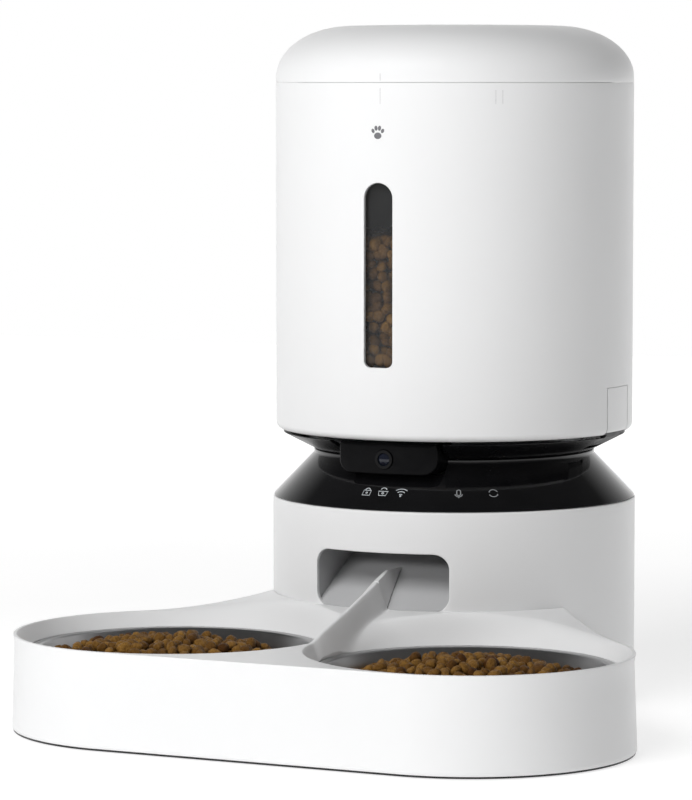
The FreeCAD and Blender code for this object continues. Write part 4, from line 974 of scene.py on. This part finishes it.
def tray_body(material):
    """The tray's shell: the top skin round both bowls, the drafted wall and the flat underside."""
    outline = tray_boundary(448)
    count = len(outline)
    x1 = np.array([p[0] for p in outline])
    y1 = np.array([p[1] for p in outline])
    normal = np.array([p[2] for p in outline])
    free = [p[3] for p in outline]
    # the top skin ends where the edge's rounding starts, which is much smaller beside the divider
    by_divider = (np.hypot(x1, y1) < TRAY_GAP_R + 0.01) & (x1 < 10.0)
    edge = np.where(by_divider, 0.015, 0.45)
    lip = np.where(free, edge, 0.0)
    lip_x = np.where(x1 < TINY, 0.0, x1 - normal[:, 0] * lip)
    lip_y = y1 - normal[:, 1] * lip
    angle = np.arctan2(lip_y - BOWL_Y, lip_x - BOWL_X)
    start_x = BOWL_X + DISH_LOW_R * np.cos(angle)
    start_y = BOWL_Y + DISH_LOW_R * np.sin(angle)
    rings = []

    def add_ring(x, y, z):
        rings.append(np.stack([x, y, np.broadcast_to(z, x.shape)], 1))

    pocket_x = BOWL_X + POCKET_R * np.cos(angle)
    pocket_y = BOWL_Y + POCKET_R * np.sin(angle)
    add_ring(pocket_x, pocket_y, TRAY_FLOOR_Z)
    add_ring(pocket_x, pocket_y, SEAT_Z - 0.4)
    for grow, drop in ((0.12, 0.12), (0.4, 0.0)):
        reach = POCKET_R + grow
        add_ring(BOWL_X + reach * np.cos(angle), BOWL_Y + reach * np.sin(angle), SEAT_Z - drop)
    add_ring(start_x, start_y, SEAT_Z)
    add_ring(start_x, start_y, BOWL_RIM_Z - 0.4)
    steps = 64
    for i in range(steps + 1):
        t = i / steps
        eased = t - 0.35 * math.sin(2 * math.pi * t) / (2 * math.pi)
        x = start_x + (lip_x - start_x) * eased
        y = start_y + (lip_y - start_y) * eased
        z = deck_height(x, y)
        if i == 0:
            z = np.maximum(z, BOWL_RIM_Z - 0.1)
        add_ring(x, y, z)
    last_top = len(rings) - 1
    top_z = rings[-1][:, 2]
    for step in range(1, 6):
        phi = math.pi / 2 * step / 5
        shift = np.where(free, edge * (1 - math.sin(phi)), 0.0)
        x = np.where(x1 < TINY, 0.0, x1 - normal[:, 0] * shift)
        add_ring(x, y1 - normal[:, 1] * shift, top_z - edge * (1 - math.cos(phi)))
    draft = (TRAY_FOOT_R - TRAY_RIM_R) / (TRAY_RIM_Z - TRAY_FOOT_Z)

    def wall_ring(z, inset=0.0):
        """The outline at a lower height, moved out by the draft; the column's side stays put."""
        out = draft * (TRAY_RIM_Z - z) - TRAY_RIM_OUT - inset
        touching = np.hypot(x1, y1) < TRAY_GAP_R + 0.01
        shift = np.where(touching, -inset, out)
        x = np.where(x1 < TINY, 0.0, x1 + normal[:, 0] * shift)
        add_ring(x, y1 + normal[:, 1] * shift, z)

    for z in (46.0, 38.0, 26.0, 14.0, 4.0):
        wall_ring(z)
    wall_ring(TRAY_FOOT_Z + 0.3)
    wall_ring(TRAY_FOOT_Z, 0.3)
    wall_ring(TRAY_FOOT_Z, TRAY_FOOT_W)
    wall_ring(TRAY_FLOOR_Z, TRAY_FOOT_W)
    points = np.concatenate(rings)
    faces = []
    total = len(rings)
    for r in range(total - 1):
        for j in range(count):
            k = (j + 1) % count
            if r >= last_top and not (free[j] and (free[k] or outline[j][0] > TINY)):
                continue
            faces.append([r * count + j, r * count + k, (r + 1) * count + k, (r + 1) * count + j])
    # the flat underside joins the last ring to the first
    last = (total - 1) * count
    for j in range(count):
        k = (j + 1) % count
        faces.append([last + j, last + k, k, j])
    build_mirrored(points, faces, material)


def build_mirrored(points, faces, material):
    """The tray from its right half and that half's mirror twin, sewn together."""
    mesh = bpy.data.meshes.new("tray_body")
    half = len(points)
    twin = points.copy()
    twin[:, 0] *= -1
    every = [place(p) for p in points] + [place(p) for p in twin]
    flipped = [[v + half for v in reversed(f)] for f in faces]
    mesh.from_pydata(every, [], faces + flipped)
    work = bmesh.new()
    work.from_mesh(mesh)
    bmesh.ops.remove_doubles(work, verts=work.verts, dist=0.00002)
    bmesh.ops.dissolve_degenerate(work, edges=work.edges, dist=0.000005)
    loose = [v for v in work.verts if not v.link_faces]
    bmesh.ops.delete(work, geom=loose, context="VERTS")
    bmesh.ops.recalc_face_normals(work, faces=work.faces)
    work.to_mesh(mesh)
    work.free()
    obj = mounted("tray_body", mesh, "tray", material)
    smooth_by_angle(obj, 50.0)
    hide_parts("tray_shell")


# ---- bowls and food -----------------------------------------------------------------------------
def bowl_profile():
    """Half section of the pressed bowl with its rolled rim, inside first."""
    floor = BOWL_FLOOR_Z
    inside = rounded([(0.0, floor + 0.9), (53.6, floor + 0.9), (66.0, 16.4), (71.0, BOWL_RIM_Z - 0.35),
                      (BOWL_R - 1.0, BOWL_RIM_Z)], [0, 11.0, 13.0, 1.3, 0], 8)
    roll = [(BOWL_R - 1.0 + 1.0 * math.sin(a), BOWL_RIM_Z - 0.75 + 0.75 * math.cos(a))
            for a in (math.pi * s / 8 for s in range(1, 9))]
    outside = rounded([(72.6, BOWL_RIM_Z - 1.35), (66.9, 16.0), (54.0, floor), (0.0, floor)],
                      [0.8, 14.0, 12.0, 0], 8)
    return inside + roll + outside


def steel_bowls(materials):
    """The left and right bowl, each turned about its own axis."""
    for side, x in (("left", -BOWL_X), ("right", BOWL_X)):
        name = "bowl_" + side
        profile = list(reversed(bowl_profile()))
        piece = lathe("steel_" + name, profile, name, materials[name], 160,
                      (x, BOWL_Y), closed=False)
        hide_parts(name)


def icosphere(levels):
    """Unit sphere's points and triangles."""
    golden = (1 + 5 ** 0.5) / 2
    points = [Vector(p).normalized() for p in (
        (-1, golden, 0), (1, golden, 0), (-1, -golden, 0), (1, -golden, 0),
        (0, -1, golden), (0, 1, golden), (0, -1, -golden), (0, 1, -golden),
        (golden, 0, -1), (golden, 0, 1), (-golden, 0, -1), (-golden, 0, 1))]
    faces = [(0, 11, 5), (0, 5, 1), (0, 1, 7), (0, 7, 10), (0, 10, 11), (1, 5, 9), (5, 11, 4), (11, 10, 2),
             (10, 7, 6), (7, 1, 8), (3, 9, 4), (3, 4, 2), (3, 2, 6), (3, 6, 8), (3, 8, 9), (4, 9, 5),
             (2, 4, 11), (6, 2, 10), (8, 6, 7), (9, 8, 1)]
    for _ in range(levels):
        middle = {}
        finer = []

        def halfway(a, b):
            key = (min(a, b), max(a, b))
            if key not in middle:
                middle[key] = len(points)
                points.append(((points[a] + points[b]) / 2).normalized())
            return middle[key]

        for a, b, c in faces:
            ab, bc, ca = halfway(a, b), halfway(b, c), halfway(c, a)
            finer += [(a, ab, ca), (b, bc, ab), (c, ca, bc), (ab, bc, ca)]
        faces = finer
    return np.array([tuple(p) for p in points]), faces


def food_shapes(levels, variants, rng):
    """A few different puffed pieces, about 8 mm across and 5 mm thick, as point arrays."""
    ball, faces = icosphere(levels)
    shapes = []
    for _ in range(variants):
        wide = rng.uniform(3.1, 4.1)
        deep = rng.uniform(2.8, 3.6)
        thick = rng.uniform(2.2, 3.0)
        seed = Vector((rng.uniform(0, 50), rng.uniform(0, 50), rng.uniform(0, 50)))
        lobes = rng.choice((2, 3, 3, 4))
        turn = rng.uniform(0, 2 * math.pi)
        points = []
        for p in ball:
            lump = 0.10 * noise.noise(Vector(p) * 1.6 + seed) + 0.05 * noise.noise(Vector(p) * 4.0 + seed)
            corner = 1.0 + 0.07 * math.cos(lobes * math.atan2(p[1], p[0]) + turn) * (1 - abs(p[2]))
            flat = math.copysign(abs(p[2]) ** 0.8, p[2])
            points.append((p[0] * wide * corner * (1 + lump), p[1] * deep * corner * (1 + lump),
                           flat * thick * (1 + lump)))
        shapes.append(np.array(points))
    return shapes, faces


def pile(name, spots, body, material, rng, tilt=0.9):
    """One mesh of food pieces, each turned its own way. A spot is (x, y, z, rounds of subdivision)."""
    kinds = {levels: food_shapes(levels, 14, rng) for levels in (1, 2)}
    points, all_faces, tones = [], [], []
    base = 0
    for *spot, levels in spots:
        shapes, faces = kinds[levels]
        shape = rng.choice(shapes)
        turn = (Matrix.Rotation(rng.uniform(0, 2 * math.pi), 3, "Z")
                @ Matrix.Rotation(rng.gauss(0, tilt), 3, "X") @ Matrix.Rotation(rng.gauss(0, tilt), 3, "Y"))
        size = rng.uniform(0.88, 1.1)
        turned = shape @ np.array(turn).T * size + np.array(spot)
        points.append(turned)
        all_faces += [[a + base, b + base, c + base] for a, b, c in faces]
        base += len(turned)
        tones += [min(1.0, max(0.0, rng.gauss(0.5, 0.24)))] * len(turned)
    cloud = np.concatenate(points)
    mesh = bpy.data.meshes.new(name)
    mesh.from_pydata([place(p) for p in cloud], [], all_faces)
    mesh.update()
    obj = mounted(name, mesh, body, material)
    attribute = obj.data.attributes.new("tone", "FLOAT", "POINT")
    attribute.data.foreach_set("value", tones)


def scatter(radius, spacing, rng, tries=9000):
    """Random places in a disc, none nearer to another than the spacing."""
    kept = np.zeros((0, 2))
    for _ in range(tries):
        reach = radius * math.sqrt(rng.random())
        angle = rng.uniform(0, 2 * math.pi)
        spot = np.array((reach * math.cos(angle), reach * math.sin(angle)))
        if len(kept) == 0 or np.min(np.hypot(*(kept - spot).T)) > spacing:
            kept = np.vstack([kept, spot])
    return kept


def bowl_food(materials):
    """A heap in each bowl; the left heap's top lies a little to the left."""
    heaps = (("left", -BOWL_X, -7.0, FOOD_SEED), ("right", BOWL_X, 0.0, FOOD_SEED + 7))
    for side, x, shift, seed in heaps:
        rng = random.Random(seed)
        spots = []
        for layer, levels in enumerate((2, 2, 1, 1)):
            for sx, sy in scatter(FOOD_IN_BOWL_R - layer * 1.5, 5.7 + 0.5 * layer, rng):
                reach = math.hypot(sx, sy)
                heap = FOOD_HEAP_Z - 12.0 * (math.hypot(sx - shift, sy) / 64.0) ** 2.0
                heap += 3.0 * noise.noise(Vector((sx / 16.0, sy / 16.0, seed)))
                z = heap - layer * 4.4 + rng.uniform(-1.0, 1.0)
                floor = BOWL_FLOOR_Z + 4.0 + max(0.0, reach - 52.0)
                if z > floor:
                    spots.append((x + sx, BOWL_Y + sy, z, levels))
        pile("food_" + side, spots, "bowl_" + side, materials["food"], rng)


def tank_food(materials):
    """The food's surface in the tank, and the pieces that lie against the liner by the window."""
    rng = random.Random(FOOD_SEED + 20)
    top = FOOD_IN_TANK_Z1
    spots = []
    liner = FOOD_IN_TANK_R
    for layer in range(2):
        for sx, sy in scatter(liner - 1.0, 6.8, rng, 7000):
            z = top - 2.0 - layer * 4.6 + 3.0 * noise.noise(Vector((sx / 22.0, sy / 22.0, 3.0)))
            spots.append((sx, sy, z + rng.uniform(-1.0, 1.0), 1))
    z = FOOD_IN_TANK_Z0
    while z < top - 2.0:
        for layer, radius in enumerate((liner, liner - 5.5)):
            for step in range(-3, 4):
                angle = math.radians(step * 4.4 + rng.uniform(-1.2, 1.2) + layer * 2.0 + (z * 7 % 4))
                spots.append((*polar(radius + rng.uniform(-0.8, 0.5), angle, z + rng.uniform(-1.5, 1.5)), 1))
        z += 5.6
    pile("food_in_tank", spots, "tank", materials["food"], rng, 1.4)


# ---- neck ---------------------------------------------------------------------------------------
def notched_lathe(name, profile, notch, body, material, between=60):
    """A closed profile turned full circle, but left out behind the camera housing above a height.

    notch is (half width, height)."""
    half_w, height = notch
    lines = spread(-half_w, half_w, 3.0)
    columns = Columns([(0.0, lines), (math.pi, [-3.0, 0.0, 3.0])], between)
    width = columns.count
    points = []
    for radius, z in profile:
        points += [polar(radius, a, z) for a in columns.angles(radius)]
    count = len(profile)
    cut = [z > height + TINY for _, z in profile]
    last = len(lines) - 1
    faces = []
    for i in range(count):
        k = (i + 1) % count
        for j in range(width):
            if j < last and (cut[i] or cut[k]):
                continue
            m = (j + 1) % width
            faces.append([i * width + j, i * width + m, k * width + m, k * width + j])
    ring = [i for i in range(count) if cut[i] or cut[i - 1] or cut[(i + 1) % count]]
    start = next((n for n in range(len(ring)) if not cut[ring[n]] and cut[(ring[n] + 1) % count]), 0)
    ring = ring[start:] + ring[:start]
    faces.append([i * width for i in ring][::-1])
    faces.append([i * width + last for i in ring])
    ends = [i for i in ring if not cut[i]]
    if len(ends) == 2:
        first, second = ends
        for j in range(last):
            near, far = first * width + j, second * width + j
            faces.append([near, near + 1, far + 1, far])
    obj = new_piece(name, points, faces, body, material)
    remove_loose(obj)
    return smooth_by_angle(obj, 40.0)


def ring_radius(z):
    """Radius of the control ring's slope at a height."""
    return RING_R0 + (z - RING_SLOPE_FOOT) * RING_SLOPE


def control_ring(material):
    """The glossy sloping ring, left out behind the camera housing."""
    cut_z = CAMERA_LOW.z - CAMERA_GAP
    wall = 3.0
    bend = rounded([(ring_radius(cut_z), cut_z), (RING_R1, RING_SLOPE_TOP), (RING_R1, RING_HIGH.z)],
                   [0, 1.2, 0], 4)[1:-1]
    outer = [(RING_R0 - wall, RING_LOW.z), (RING_R0 - 0.2, RING_LOW.z), (RING_R0, RING_LOW.z + 0.2),
             (RING_R0, RING_SLOPE_FOOT - 0.1), (ring_radius(RING_SLOPE_FOOT + 0.1), RING_SLOPE_FOOT + 0.1),
             (ring_radius(cut_z), cut_z), *bend,
             (RING_R1, RING_HIGH.z - 0.3), (RING_R1 - 0.3, RING_HIGH.z), (RING_R1 - 2.6, RING_HIGH.z),
             (RING_R1 - 2.6, RING_SLOPE_TOP - 0.8), (ring_radius(cut_z) - wall, cut_z)]
    piece = notched_lathe("gloss_ring", outer, (CAMERA_HALF_W + CAMERA_GAP, cut_z), "base",
                          material)
    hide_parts("control_ring")


def cone_point(angle, along, lift):
    """A point on the ring's slope: angle from the front, distance up the slope from the icon line."""
    up = Vector((RING_SLOPE, 1.0)).normalized()
    radius = ring_radius(ICON_Z) + up.x * along + up.y * lift
    return polar(radius, angle, ICON_Z + up.y * along - up.x * lift)


def stroke(points, faces, path, width, to_surface, closed=False):
    """Adds a flat line of the given width along a path of (across, up) points."""
    count = len(path)
    rows = []
    for i, here in enumerate(path):
        before = path[(i - 1) % count] if closed or i else here
        after = path[(i + 1) % count] if closed or i < count - 1 else here
        run = Vector((after[0] - before[0], after[1] - before[1])).normalized()
        side = Vector((-run.y, run.x)) * width / 2
        rows.append(len(points))
        points.append(to_surface(here[0] + side.x, here[1] + side.y))
        points.append(to_surface(here[0] - side.x, here[1] - side.y))
    for i in range(count if closed else count - 1):
        a, b = rows[i], rows[(i + 1) % count]
        faces.append([a, a + 1, b + 1, b])


def arc_path(x, y, radius, start, end, steps=12):
    """Points along an arc about (x, y), from one angle to another in degrees."""
    angles = [math.radians(start + (end - start) * i / steps) for i in range(steps + 1)]
    return [(x + radius * math.cos(a), y + radius * math.sin(a)) for a in angles]


def icon_paths():
    """Generic outline icons, as (name, angle, lit, strokes), each stroke a path and whether it closes."""
    box = [(-1.5, -1.9), (1.5, -1.9), (1.5, 0.3), (-1.5, 0.3)]
    lock = [(box, True), (arc_path(0, 0.3, 1.0, 0, 180), False), (arc_path(0, -0.8, 0.3, 0, 330), True)]
    dish = [([(-1.9, 0.2), (1.9, 0.2), (1.3, -1.7), (-1.3, -1.7)], True),
            (arc_path(0, 0.6, 1.2, 20, 160), False), (arc_path(0, -0.7, 0.35, 0, 330), True)]
    waves = [(arc_path(0, -1.7, 3.3, 50, 130), False), (arc_path(0, -1.7, 2.1, 50, 130), False),
             (arc_path(0, -1.5, 0.7, 40, 140), False), (arc_path(0, -1.6, 0.22, 0, 330), True)]
    talk = [(arc_path(0, 0.9, 0.7, 0, 180) + arc_path(0, -0.2, 0.7, 180, 360), True),
            (arc_path(0, -0.1, 1.35, 190, 350), False), ([(0, -1.45), (0, -2.0)], False)]
    cycle = [(arc_path(0, 0, 1.6, 20, 165), False), (arc_path(0, 0, 1.6, 200, 345), False)]
    return [("lock", -6.0, True, lock), ("dish", 0.0, True, dish), ("waves", 6.5, True, waves),
            ("talk", 26.0, False, talk), ("cycle", 37.7, False, cycle)]


def touch_icons(materials):
    """The five icons on the ring's slope, two of them dim."""
    radius = ring_radius(ICON_Z)
    for name, degrees, lit, strokes in icon_paths():
        middle = math.radians(degrees)
        points, faces = [], []

        def to_surface(across, up):
            return cone_point(middle + across * ICON_SCALE / radius, up * ICON_SCALE, ICON_LIFT)

        for path, closed in strokes:
            stroke(points, faces, path, ICON_LINE, to_surface, closed)
        material = materials["icon_on" if lit else "icon_dim"]
        new_piece("icon_" + name, points, faces, "base", material)


def carve(piece, low, high):
    """Cuts a box out of the piece, given by two corners in millimetres about the column's axis."""
    xs, ys, zs = zip(low, high)
    corners = [place((x, y, z)) for x in xs for y in ys for z in zs]
    sides = [(0, 1, 3, 2), (4, 6, 7, 5), (0, 4, 5, 1), (2, 3, 7, 6), (0, 2, 6, 4), (1, 5, 7, 3)]
    mesh = bpy.data.meshes.new("carving_box")
    mesh.from_pydata(corners, [], sides)
    box = bpy.data.objects.new("carving_box", mesh)
    bpy.context.scene.collection.objects.link(box)
    cut = piece.modifiers.new("cut", "BOOLEAN")
    cut.object = box
    cut.solver = "EXACT"
    bpy.context.view_layer.update()
    evaluated = piece.evaluated_get(bpy.context.evaluated_depsgraph_get())
    result = bpy.data.meshes.new_from_object(evaluated)
    piece.modifiers.remove(cut)
    piece.data = result
    bpy.data.objects.remove(box)


def neck_cup(material):
    """The flared cup that the tank stands in, open at the camera and notched for the two latches."""
    low, high = CUP_LOW.z, CUP_HIGH.z
    floor = low + 2.2
    profile = [(CUP_BORE_R, low), (RING_R1 - 0.5, low), (RING_R1 + 0.1, low + 0.35),
               (CUP_R1 - 0.35, high - 0.45), (CUP_R1 - 0.1, high - 0.1), (CUP_R1 - 0.6, high),
               (CUP_R1 - 2.8, high), (RING_R1 - 1.5, floor), (CUP_BORE_R, floor)]
    half_w = CAMERA_HALF_W + CAMERA_GAP
    start = math.asin(half_w / 80.0)
    piece = sector("cup", profile, start, 2 * math.pi - start, "base", material, 150)
    for side in (-1, 1):
        near, far = sorted((side * CUP_NOTCH_R0, side * CUP_NOTCH_R1))
        carve(piece, (near, -CUP_NOTCH_HALF_W, CUP_NOTCH_Z), (far, CUP_NOTCH_HALF_W, high + 2.0))
    smooth_by_angle(piece, 40.0)
    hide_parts("neck_cup")


def camera_housing(material):
    """Rounded box whose front follows the column's curve, with the lens hole in it."""
    half, low, high = CAMERA_HALF_W, CAMERA_LOW.z, CAMERA_HIGH.z

    def outline(inset):
        shape = [(half - inset, low + inset), (half - inset, high - inset),
                 (-half + inset, high - inset), (-half + inset, low + inset)]
        radii = [max(0.2, 7.0 - inset), max(0.2, 1.0 - inset), max(0.2, 1.0 - inset), max(0.2, 7.0 - inset)]
        loop = []
        corners = rounded(shape, radii, 10)
        for a, b in zip(corners, corners[1:] + corners[:1]):
            run_u, run_z = b[0] - a[0], b[1] - a[1]
            pieces = max(1, round(math.hypot(run_u, run_z) / 2.0))
            loop += [(a[0] + run_u * k / pieces, a[1] + run_z * k / pieces) for k in range(pieces)]
        return loop

    front = outline(CAMERA_EDGE)
    size = len(front)
    hole = []
    for u, z in front:
        reach = math.hypot(u, z - LENS_Z)
        hole.append((LENS_HOLE_R * u / reach, LENS_Z + LENS_HOLE_R * (z - LENS_Z) / reach))
    loops = []
    points = []

    def add(flat, radius):
        loops.append(range(len(points), len(points) + size))
        points.extend(polar(radius, math.asin(u / radius), z) for u, z in flat)

    face_r = CAMERA_FACE_R
    add(hole, face_r - LENS_HOLE_DEPTH)
    add(hole, face_r - 0.3)
    add([(u * 1.06, LENS_Z + (z - LENS_Z) * 1.06) for u, z in hole], face_r)
    for t in (0.25, 0.5, 0.75):
        add([between(near, far, t) for near, far in zip(hole, front)], face_r)
    outer = resample_like(outline(0.0), size)
    for step in range(5):
        phi = math.pi / 2 * step / 4
        add([between(near, far, math.sin(phi)) for near, far in zip(front, outer)],
            face_r - CAMERA_EDGE * (1 - math.cos(phi)))
    add(outer, CAMERA_BACK_R)
    inner = [(u * 0.9, LENS_Z + (z - LENS_Z) * 0.75) for u, z in outer]
    add(inner, CAMERA_BACK_R)
    add(inner, face_r - LENS_HOLE_DEPTH)
    faces = []
    join_loops(faces, loops + [loops[0]])
    piece = new_piece("camera_case", points, faces, "base", material)
    smooth_by_angle(piece, 40.0)
    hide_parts("camera_housing")


def resample_like(loop, size):
    """The loop with a given number of points, evenly spread by index."""
    count = len(loop)
    result = []
    for i in range(size):
        t = i * count / size
        a, b = loop[int(t) % count], loop[(int(t) + 1) % count]
        result.append(between(a, b, t - int(t)))
    return result


# ---- marks --------------------------------------------------------------------------------------
def paw_mark(material):
    """A plain paw print on the front of the tank, made of five ovals."""
    blobs = [(0.0, -1.6, 2.1, 1.7, 0.0), (-2.7, 0.9, 0.85, 1.2, 25.0), (-1.0, 2.3, 0.9, 1.3, 8.0),
             (1.0, 2.3, 0.9, 1.3, -8.0), (2.7, 0.9, 0.85, 1.2, -25.0)]
    points, faces = [], []
    for x, z, wide, tall, lean in blobs:
        start = len(points)
        turn = math.radians(lean)
        for i in range(24):
            a = 2 * math.pi * i / 24
            u, v = wide * math.cos(a), tall * math.sin(a)
            across = x + u * math.cos(turn) - v * math.sin(turn)
            up = z + u * math.sin(turn) + v * math.cos(turn)
            points.append(polar(TANK_R + PRINT_LIFT, across / TANK_R, PAW_Z + up))
        faces.append(list(range(start, start + 24)))
    new_piece("paw_mark", points, faces, "tank", material)


# ---- stage, lights and camera -------------------------------------------------------------------
def make_stage():
    """A pale floor that grows brighter away from the feeder."""
    surface = Surface("studio floor", roughness=0.7)
    surface.colour(surface.ramp(surface.noise(400.0, 2.0), (0.44, 0.44, 0.44), (0.46, 0.46, 0.46)))
    surface.rough(surface.remap(surface.noise(150.0), 0.65, 0.8))
    surface.shader.inputs["Emission Color"].default_value = (1.0, 1.0, 1.0, 1.0)
    reach = surface.node("ShaderNodeVectorMath", operation="LENGTH")
    surface.link(surface.coords.outputs["Vector"], reach.inputs[0])
    glow = surface.remap(reach.outputs["Value"], 0.7, 0.98, 500.0, 1700.0)
    surface.link(glow, surface.shader.inputs["Emission Strength"])
    surface.shader.inputs["Specular IOR Level"].default_value = 0.1
    mesh = bpy.data.meshes.new("studio_floor")
    size = 2.6
    corners = [(-size, -size, 0), (size, -size, 0), (size, size, 0), (-size, size, 0)]
    mesh.from_pydata(corners, [], [(0, 1, 2, 3)])
    mesh.materials.append(surface.material)
    floor = bpy.data.objects.new("studio_floor", mesh)
    bpy.context.scene.collection.objects.link(floor)


def studio_light(name, azimuth, elevation, distance, size, power):
    """A soft box aimed at the feeder, left out of reflections.

    Azimuth 0 is straight in front of the feeder, positive to the right."""
    middle = Vector((COLUMN_X, COLUMN_Y - 0.05, 0.18))
    turn, rise = math.radians(azimuth), math.radians(elevation)
    away = Vector((math.sin(turn) * math.cos(rise), -math.cos(turn) * math.cos(rise), math.sin(rise)))
    data = bpy.data.lights.new(name, "AREA")
    data.shape = "RECTANGLE"
    data.size, data.size_y = size
    data.energy = power
    light = bpy.data.objects.new(name, data)
    light.visible_glossy = False
    light.location = middle + away * distance
    light.rotation_euler = (-away).to_track_quat("-Z", "Y").to_euler()
    bpy.context.scene.collection.objects.link(light)


def make_lights():
    """A dim room with a white wall behind the feeder, and three soft boxes."""
    world = bpy.data.worlds.new("soft studio")
    bpy.context.scene.world = world
    world.use_nodes = True
    tree = world.node_tree
    background = tree.nodes["Background"]
    background.inputs["Strength"].default_value = 1.0
    direction = tree.nodes.new("ShaderNodeTexCoord")
    behind = tree.nodes.new("ShaderNodeVectorMath")
    behind.operation = "DOT_PRODUCT"
    turn = math.radians(26.0)
    behind.inputs[1].default_value = (-math.sin(turn), math.cos(turn), -0.7)
    tree.links.new(direction.outputs["Generated"], behind.inputs[0])
    ramp = tree.nodes.new("ShaderNodeValToRGB")
    ramp.color_ramp.elements[0].position = 0.15
    ramp.color_ramp.elements[0].color = (0.1, 0.1, 0.1, 1.0)
    ramp.color_ramp.elements[1].position = 0.85
    ramp.color_ramp.elements[1].color = (1.0, 1.0, 1.0, 1.0)
    tree.links.new(behind.outputs["Value"], ramp.inputs["Fac"])
    tree.links.new(ramp.outputs["Color"], background.inputs["Color"])
    studio_light("key", -10.0, 43.0, 2.2, (1.4, 1.1), 33.5)
    studio_light("front", -10.0, 13.0, 2.0, (1.0, 0.25), 12.5)
    studio_light("right rim", 140.0, 3.0, 1.8, (0.8, 0.3), 5.0)


def make_camera():
    """A long lens to the right of the front, near the height of the lid."""
    azimuth = math.radians(24.42)
    distance = 2.14186
    height = 0.33125
    pitch = math.radians(4.57)
    yaw = math.radians(1.56)
    data = bpy.data.cameras.new("camera")
    data.sensor_width = 36.0
    data.lens = 179.3
    data.clip_start = 0.05
    camera = bpy.data.objects.new("camera", data)
    camera.location = (COLUMN_X + distance * math.sin(azimuth),
                       COLUMN_Y - distance * math.cos(azimuth), height)
    camera.rotation_euler = (math.pi / 2 - pitch, 0.0, azimuth + yaw)
    bpy.context.scene.collection.objects.link(camera)
    bpy.context.scene.camera = camera


# ---- everything ---------------------------------------------------------------------------------
def main():
    """Builds every visible piece, then the stage, the lights and the camera."""
    bpy.context.scene.view_settings.view_transform = "Standard"
    materials = make_materials()
    dress_cad_nodes(materials)
    white = materials["white_shell"]
    base_column(white)
    tank_body(white)
    release_tabs(white)
    lid_top(white)
    alignment_ticks(materials["faint_mark"])
    paw_mark(materials["mark"])
    tray_body(white)
    steel_bowls(materials)
    bowl_food(materials)
    tank_food(materials)
    control_ring(materials["black_gloss"])
    neck_cup(materials["neck"])
    camera_housing(materials["camera_case"])
    touch_icons(materials)
    make_stage()
    make_lights()
    make_camera()


main()
